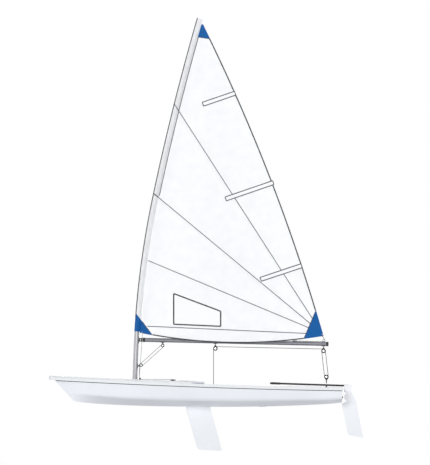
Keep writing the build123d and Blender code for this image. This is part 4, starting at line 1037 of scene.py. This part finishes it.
# The mainsheet: from the becket under the boom's end down round the traveller's pulley and up again
r = tackle["sheetRadius"]
aft = squareTo(tackle["traveller"], tackle["boomEnd"])
fore = (-aft[0], -aft[1])
aftTurn = math.atan2(aft[1], aft[0])
becket = beside(tackle["boomEnd"], squareTo(tackle["boomEnd"], tackle["traveller"]), r)
falls = between(becket, beside(tackle["traveller"], fore, r))
falls += arcPoints(tackle["traveller"], r, aftTurn + math.pi, aftTurn + 2 * math.pi, 16)[1:]
falls += between(beside(tackle["traveller"], aft, r), beside(tackle["boomEnd"], aft, r))[1:]
mainsheetFalls = ropeAlong("mainsheetFalls", inPlane(falls), tackle["sheetRope"], ropeBraid)
hullToRig(mainsheetFalls, upright(tackle["traveller"]), upright(tackle["boomEnd"]))

# Then round the pulley at the boom's end, along the boom and round its middle pulley
up = squareTo(tackle["boomEnd"], tackle["boomMiddle"])
up = up if up[1] > 0 else (-up[0], -up[1])
upTurn = math.atan2(up[1], up[0])
run = arcPoints(tackle["boomEnd"], r, aftTurn, upTurn, 10)
run += between(beside(tackle["boomEnd"], up, r), beside(tackle["boomMiddle"], up, r))[1:]
run += arcPoints(tackle["boomMiddle"], r, upTurn, math.pi, 10)[1:]
boomRun = ropeAlong("mainsheetBoomRun", inPlane(run), tackle["sheetRope"], ropeBraid, "rig")

# Then down to the cockpit's block, round it and on to the stopper knot
dropX = tackle["boomMiddle"][0] - r
drop = between((dropX, tackle["boomMiddle"][1]), (dropX, tackle["ratchet"][1]))
deckFall = ropeAlong("mainsheetDeckFall", inPlane(drop), tackle["sheetRope"], ropeBraid)
hullToRig(deckFall, upright(drop[-1]), upright(drop[0]))
tail = arcPoints(tackle["ratchet"], r, math.pi, 2 * math.pi, 20)
tail += between(tail[-1], (tail[-1][0], tail[-1][1] + tackle["toKnot"]), 4)[1:]
sheetTail = ropeAlong("mainsheetTail", inPlane(tail), tackle["sheetRope"], ropeBraid, "hull")

# The vang's loop, round its pulleys on the mast and under the boom
r = tackle["vangRadius"]
low, high = tackle["vangMast"], tackle["vangBoom"]
aft = squareTo(low, high)
fore = (-aft[0], -aft[1])
turn = math.atan2(aft[1], aft[0])
loop = between(beside(low, fore, r), beside(high, fore, r))
loop += arcPoints(high, r, turn + math.pi, turn, 14)[1:]
loop += between(beside(high, aft, r), beside(low, aft, r))[1:]
loop += arcPoints(low, r, turn, turn - math.pi, 14)[1:]
vangRope = ropeAlong("vangRope", inPlane(loop), tackle["vangRope"], ropeBraid, "rig")

# The traveller's bridle, from eye to eye across the stern and over its pulley
low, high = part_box("traveller_rope")
pitch, wheelZ = tackle["travellerRadius"], tackle["travellerLow"]
eyeZ = low.z + tackle["vangRope"] / 2
slope = math.atan2(wheelZ + pitch - eyeZ, high.y)
touch = (math.sin(slope) * pitch, wheelZ + math.cos(slope) * pitch)
far = (high.y, touch[1] - (high.y - touch[0]) * math.tan(slope))
bridle = between((-far[0], far[1]), (-touch[0], touch[1]))
bridle += arcPoints((0, wheelZ), pitch, math.pi / 2 + slope, math.pi / 2 - slope, 6)[1:-1]
bridle += between(touch, far)
spots = [Vector((tackle["traveller"][0], y, z)) for y, z in bridle]
travellerRope = ropeAlong("travellerRope", spots, tackle["vangRope"], ropeBraid, "hull")
for piece, node in (
    (mainsheetFalls, "mainsheet_falls"),
    (boomRun, "mainsheet_boom_run"),
    (deckFall, "mainsheet_deck_fall"),
    (sheetTail, "mainsheet_tail"),
    (vangRope, "vang_rope"),
    (travellerRope, "traveller_rope"),
):
    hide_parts(node)
print("ropes")


# Small parts that the CAD leaves out. Each stands where a line of sight meets the CAD piece that carries it.
def meet(node, start, way):
    found, spot, facing, _ = nodes[node].ray_cast(Vector(start), Vector(way))
    assert found, node
    return spot, facing


def faceAlong(piece, spot, facing):
    piece.location = spot
    piece.rotation_euler = Vector(facing).to_track_quat("Z", "Y").to_euler()
    settle(piece)
    return piece


def box(name, size):
    piece = newPiece(name, bpy.ops.mesh.primitive_cube_add, size=1.0)
    piece.scale = size
    settle(piece)
    return piece


def hoop(name, size):
    radii = {"major_radius": size["major"], "minor_radius": size["minor"]}
    steps = {"major_segments": size["around"], "minor_segments": size["across"]}
    return newPiece(name, bpy.ops.mesh.primitive_torus_add, **radii, **steps)


def facesUp(face):
    return face.normal.z > 0.9


def disc(name, radius, height, bevel, sides=32):
    # a round button that stands on z = 0, its upper edge rounded
    shape = {"vertices": sides, "radius": radius, "depth": height}
    piece = newPiece(name, bpy.ops.mesh.primitive_cylinder_add, **shape)
    piece.location = (0, 0, height / 2)
    settle(piece)
    select(piece, "edges", lambda edge: all(v.co.z > height * 0.9 for v in edge.verts))
    bpy.ops.mesh.bevel(offset=bevel, segments=3)
    bpy.ops.object.mode_set(mode="OBJECT")
    return smooth(piece)


def copyOf(piece, name):
    other = piece.copy()
    other.data = piece.data.copy()
    other.name = name
    bpy.context.scene.collection.objects.link(other)
    return other


def placed(model, places, name, material, body):
    # copies of one model at each spot and facing, joined into one piece
    piece = joinAs(name, [faceAlong(copyOf(model, name), spot, facing) for spot, facing in places], body)
    coat(piece, material)


# Screws: a pan head with a round recess
screw = {"radius": 0.0042, "height": 0.0018, "bevel": 0.0007, "recess": 0.0010}
screwModel = disc("screwModel", screw["radius"], screw["height"], screw["bevel"], 20)
select(screwModel, "faces", lambda face: face.normal.z > 0.99)
bpy.ops.mesh.inset(thickness=screw["radius"] * 0.4)
bpy.ops.mesh.extrude_region_move(TRANSFORM_OT_translate={"value": (0, 0, -screw["recess"])})
bpy.ops.object.mode_set(mode="OBJECT")
down, aftward, forward = (0, 0, -1), (1, 0, 0), (-1, 0, 0)
seats = {
    "cleatX": (-0.367, -0.307),
    "cleatY": 0.0655,
    "gudgeonY": 0.027,
    "gudgeonZ": (0.030, 0.118),
    "stepZ": 0.328,
    "stepRadius": 0.0445,
    "stepTurns": (30, 150, 210, 330),
}
hullScrews = []
for x in seats["cleatX"]:
    hullScrews += [meet("control_cleats", (x, hand * seats["cleatY"], 1), down) for hand in (-1, 1)]
for y in (-seats["gudgeonY"], seats["gudgeonY"]):
    hullScrews += [meet("gudgeons", (2.5, y, z), forward) for z in seats["gudgeonZ"]]
stepCentre = mastStation(mastLengthAt(seats["stepZ"]))[0]
for turn in seats["stepTurns"]:
    x = stepCentre + seats["stepRadius"] * math.cos(math.radians(turn))
    y = seats["stepRadius"] * math.sin(math.radians(turn))
    hullScrews.append(meet("mast_step", (x, y, 0.5), down))
placed(screwModel, hullScrews, "hullScrews", steel, "hull")

# Toe strap: a webbing strap needs a plate and two screws at each end of the cockpit
strapPlate = {
    "width": 0.070,
    "height": 0.026,
    "thickness": 0.004,
    "bevel": 0.0015,
    "insideX": 0.78,
    "z": 0.152,
    "screwY": 0.024,
}
for name, way in (("strapPlateFront", forward), ("strapPlateBack", aftward)):
    spot, _ = meet("deck", (strapPlate["insideX"], 0, strapPlate["z"]), way)
    plate = box(name, (strapPlate["thickness"], strapPlate["width"], strapPlate["height"]))
    applyModifier(plate, "BEVEL", width=strapPlate["bevel"], segments=3)
    smooth(plate)
    plate.location = spot - Vector(way) * (strapPlate["thickness"] / 2)
    settle(plate)
    dress(plate, blackNylon, "hull")
    front = spot - Vector(way) * strapPlate["thickness"]
    inward = tuple(-c for c in way)
    heads = [((front.x, y, front.z), inward) for y in (-strapPlate["screwY"], strapPlate["screwY"])]
    placed(screwModel, heads, name + "Screws", steel, "hull")
bpy.data.objects.remove(screwModel)

# Hubs: the bright ball race in the middle of every block's cheek
outhaul = {"diameter": 0.005, "pulley": (1.841, 0.880), "pitch": 0.014, "cleatX": 1.42, "rise": 0.0045}
large, small, least = 0.0145, 0.0105, 0.0085
hubRim = {"height": 0.0022, "bevel": 0.0008}
hubs = [
    ("boom_end_block", tackle["boomEnd"], large, "rig"),
    ("boom_middle_block", tackle["boomMiddle"], large, "rig"),
    ("vang_boom_block", tackle["vangBoom"], small, "rig"),
    ("vang_mast_block", tackle["vangMast"], small, "rig"),
    ("clew_fittings", outhaul["pulley"], least, "rig"),
    ("traveller_block", tackle["traveller"], large, "hull"),
    ("ratchet_block", tackle["ratchet"], large, "hull"),
]
for node, (x, z), radius, body in hubs:
    hub = disc("hubModel", radius, hubRim["height"], hubRim["bevel"], 40)
    cheeks = [meet(node, (x, -hand, z), (0, hand, 0)) for hand in (1, -1)]
    placed(hub, cheeks, node.replace("_", "") + "Hubs", steel, body)
    bpy.data.objects.remove(hub)
print("screws, strap plates and hubs")

# Collars: black sleeves over both ends of the boom
collar = {"radius": 0.0303, "length": 0.026, "wall": 0.0016, "places": (-0.745, 1.886)}
boomLine = {"front": (-0.757, 0.887), "back": (1.899, 0.827)}
boomWay = (upright(boomLine["back"]) - upright(boomLine["front"])).normalized()


def boomAt(x):
    # the height of the boom's middle line
    share = (x - boomLine["front"][0]) / (boomLine["back"][0] - boomLine["front"][0])
    return boomLine["front"][1] + (boomLine["back"][1] - boomLine["front"][1]) * share


for number, x in enumerate(collar["places"]):
    shape = {"radius": collar["radius"], "depth": collar["length"], "end_fill_type": "NOTHING"}
    ring = newPiece(f"boomCollar{number}", bpy.ops.mesh.primitive_cylinder_add, vertices=48, **shape)
    applyModifier(ring, "SOLIDIFY", thickness=collar["wall"], offset=1.0)
    smooth(ring)
    faceAlong(ring, (x, 0, boomAt(x)), boomWay)
    dress(ring, blackNylon, "rig")

# Painted shadow: a dark strip between the deck's lip and the hull stands for the lip's shadow on the hull,
# along both sides and across the transom
lipShadow = {
    "top": 0.0005,
    "height": 0.008,
    "thickness": 0.0024,
    "front": -2.012,
    "back": 2.100,
    "columns": 150,
    "transomX": 2.103,
    "halfTransom": 0.46,
}
lipEdgeArc = arcThrough((2.115, 0.158), (-2.115, 0.312), 0.022)


def lipShadowZ(x, v):
    # the line's height, with v from its upper to its lower edge
    edge = lipEdgeArc[1] - math.sqrt(lipEdgeArc[2] ** 2 - (x - lipEdgeArc[0]) ** 2)
    return edge - lipShadow["top"] - lipShadow["height"] * v


def lipShadowSide(hand):
    def place(u, v):
        x = lipShadow["front"] + (lipShadow["back"] - lipShadow["front"]) * u
        spot, _ = meet("hull", (x, hand, lipShadowZ(x, v)), (0, -hand, 0))
        return spot + Vector((0, hand * lipShadow["thickness"] / 2, 0))

    return shapedGrid("lipShadowLine", lipShadow["columns"], 1, place)


def lipShadowAcross(u, v):
    y = lipShadow["halfTransom"] * (2 * u - 1)
    spot, _ = meet("hull", (2.5, y, lipShadowZ(lipShadow["transomX"], v)), forward)
    return spot + Vector((lipShadow["thickness"] / 2, 0, 0))


lipShadowPieces = [lipShadowSide(-1), lipShadowSide(1), shapedGrid("lipShadowLine", 40, 1, lipShadowAcross)]
for piece in lipShadowPieces:
    applyModifier(piece, "SOLIDIFY", thickness=lipShadow["thickness"], offset=0.0)
# the painted shadow strip under the lip takes the near-black grip rubber finish
coat(joinAs("lipShadowLine", lipShadowPieces, "hull"), gripRubber)
print("collars and joint line")

# Control lines: the sail's tack is pulled down through one deck block and the vang's tail runs through the
# other, and both run aft over the foredeck to their cleats.
controls = {
    "diameter": 0.005,
    "blockX": -0.806,
    "blockRadius": 0.013,
    "blockCheek": 0.0025,
    "blockBevel": 0.0008,
    "blockY": 0.026,
    "blockRise": 0.016,
    "pitch": 0.011,
    "wheelRadius": 0.009,
    "wheelWidth": 0.006,
    "baseRadius": 0.0115,
    "baseHeight": 0.0055,
    "cleatX": -0.337,
    "cleatY": 0.01875,
    "cleatRise": 0.016,
    "beforeCleat": 0.030,
    "behindCleat": 0.040,
    "knot": 0.0072,
    "tackEye": (-0.772, 0.988),
    "vangTail": (-0.812, 0.505),
}


def deckTop(x, y):
    return meet("deck", (x, y, 1), down)[0].z


def footBlock(name, hand):
    # two cheeks on a small base, with the line's pulley between them
    y = hand * controls["blockY"]
    floorZ = deckTop(controls["blockX"], y)
    centre = Vector((controls["blockX"], y, floorZ + controls["blockRise"]))
    parts = []
    for side in (-1, 1):
        cheek = disc(name, controls["blockRadius"], controls["blockCheek"], controls["blockBevel"])
        parts.append(faceAlong(cheek, centre + Vector((0, side * 0.0038, 0)), (0, side, 0)))
    wheel = disc(name, controls["wheelRadius"], controls["wheelWidth"], controls["blockBevel"])
    parts.append(faceAlong(wheel, centre - Vector((0, controls["wheelWidth"] / 2, 0)), (0, 1, 0)))
    base = disc(name, controls["baseRadius"], controls["baseHeight"], 0.001)
    parts.append(faceAlong(base, (centre.x, centre.y, floorZ - 0.001), (0, 0, 1)))
    coat(joinAs(name, parts, "hull"), blackNylon)
    return centre


def controlLine(name, hand, rigPoints):
    # from its points on the rig down to its block, then over the deck to its cleat and its knot
    centre = footBlock(name + "Block", hand)
    front = centre - Vector((controls["pitch"], 0, 0))
    falling = [rigPoints[-1].lerp(front, share) for share in evenly(0, 1, 40)[1:]]
    line = ropeAlong(name, rigPoints + falling, controls["diameter"], ropeBraid)
    hullToRig(line, front, rigPoints[-1])

    turn = arcPoints((centre.x, centre.z), controls["pitch"], math.pi, 1.5 * math.pi, 8)
    path = [upright(point, centre.y) for point in turn]
    grip = Vector((controls["cleatX"], hand * controls["cleatY"], 0))
    mouth = grip - Vector((controls["beforeCleat"], 0, 0))
    leave, lift = path[-1], path[-1].z - deckTop(centre.x, centre.y)
    for share in evenly(0, 1, 24)[1:]:
        spot = leave.lerp(mouth, share)
        spot.z = deckTop(spot.x, spot.y) + lift + (controls["cleatRise"] - lift) * share
        path.append(spot)
    grip.z = deckTop(grip.x, grip.y) + controls["cleatRise"]
    end = grip + Vector((controls["behindCleat"], 0, -0.004))
    ropeAlong(name + "Deck", path + [grip, end], controls["diameter"], ropeBraid, "hull")

    shape = {"segments": 20, "ring_count": 12, "radius": controls["knot"]}
    knot = newPiece(name + "Knot", bpy.ops.mesh.primitive_uv_sphere_add, **shape)
    knot.scale = (1.0, 0.85, 0.85)
    knot.location = end + Vector((0.003, 0, 0))
    settle(knot)
    dress(smooth(knot), gripRubber, "hull")


x, z = controls["tackEye"]
throughEye = [
    Vector((x, sailY(x, z), z)),
    Vector((x - 0.001, -0.020, z - 0.028)),
    Vector((x - 0.002, -0.028, z - 0.05)),
    Vector((x, -0.029, z - 0.06)),
]
controlLine("downhaul", -1, throughEye)
controlLine("vangTail", 1, [upright(controls["vangTail"], 0.010)])
print("control lines")

# Eyes pressed into the sail's corners, a shackle through the clew's, and the outhaul that it pulls on
eye = {"major": 0.0095, "minor": 0.0030, "around": 36, "across": 14, "tack": (-0.772, 0.992)}
shackle = {
    "major": 0.0200,
    "minor": 0.0050,
    "around": 40,
    "across": 12,
    "squeeze": 0.60,
    "top": (1.812, 0.958),
    "low": (1.829, 0.924),
}
for name, (x, z) in (("tackEye", eye["tack"]), ("clewEye", shackle["top"])):
    ring = faceAlong(hoop(name, eye), (x, sailY(x, z), z), (0, 1, 0))
    dress(smooth(ring), steel, "rig")

top, low = upright(shackle["top"]), upright(shackle["low"])
aside = sailY(*shackle["top"])
hang = (low - top).normalized()
ring = hoop("clewShackle", shackle)
ring.scale = (1.0, shackle["squeeze"], 1.0)
settle(ring)
ring.rotation_euler = Vector((hang.z, 0, -hang.x)).to_track_quat("Z", "X").to_euler()
ring.location = (top + low) / 2 + Vector((0, aside, 0))
settle(ring)
dress(smooth(ring), blackMetal, "rig")

x, z = outhaul["pulley"]
r = outhaul["pitch"]
path = [low + Vector((0.004, aside / 2, -0.002)), Vector((x + r, 0, z + 0.004))]
path += inPlane(arcPoints((x, z), r, 0, -math.pi / 2, 8))
for share in evenly(0, 1, 16)[1:]:
    spotX = x - (x - outhaul["cleatX"]) * share
    onBoom = boomAt(spotX) + collar["radius"] + outhaul["rise"]
    path.append(upright((spotX, max(onBoom, (z - r) * (1 - share) + onBoom * share))))
ropeAlong("outhaul", path, outhaul["diameter"], ropeBraid, "rig")

boomCleat = {"size": (0.060, 0.018, 0.014), "rim": 0.004, "taper": 0.6, "bevel": 0.0012, "rise": 0.0035}
clam = box("outhaulCleat", boomCleat["size"])
select(clam, "faces", facesUp)
bpy.ops.mesh.inset(thickness=boomCleat["rim"])
bpy.ops.transform.resize(value=(boomCleat["taper"], 1.0, 1.0), center_override=(0, 0, 0))
bpy.ops.object.mode_set(mode="OBJECT")
applyModifier(clam, "BEVEL", width=boomCleat["bevel"], segments=2)
smooth(clam)
clam.location = (outhaul["cleatX"], 0, boomAt(outhaul["cleatX"]) + collar["radius"] + boomCleat["rise"])
settle(clam)
dress(clam, blackNylon, "rig")
print("eyes, shackle and outhaul")

# The self-bailer's low housing under the cockpit
bailer = {
    "size": (0.120, 0.050, 0.006),
    "taper": (0.62, 0.66, 1.0),
    "highX": 0.012,
    "bevel": 0.0015,
    "x": 0.95,
}
housing = box("bailerHousing", bailer["size"])
select(housing, "faces", facesUp)
bpy.ops.transform.resize(value=bailer["taper"], center_override=(bailer["highX"], 0, 0))
bpy.ops.object.mode_set(mode="OBJECT")
applyModifier(housing, "BEVEL", width=bailer["bevel"], segments=3)
smooth(housing)
faceAlong(housing, *meet("hull", (bailer["x"], 0, -1), (0, 0, 1)))
dress(housing, steel, "hull")
print("bailer")

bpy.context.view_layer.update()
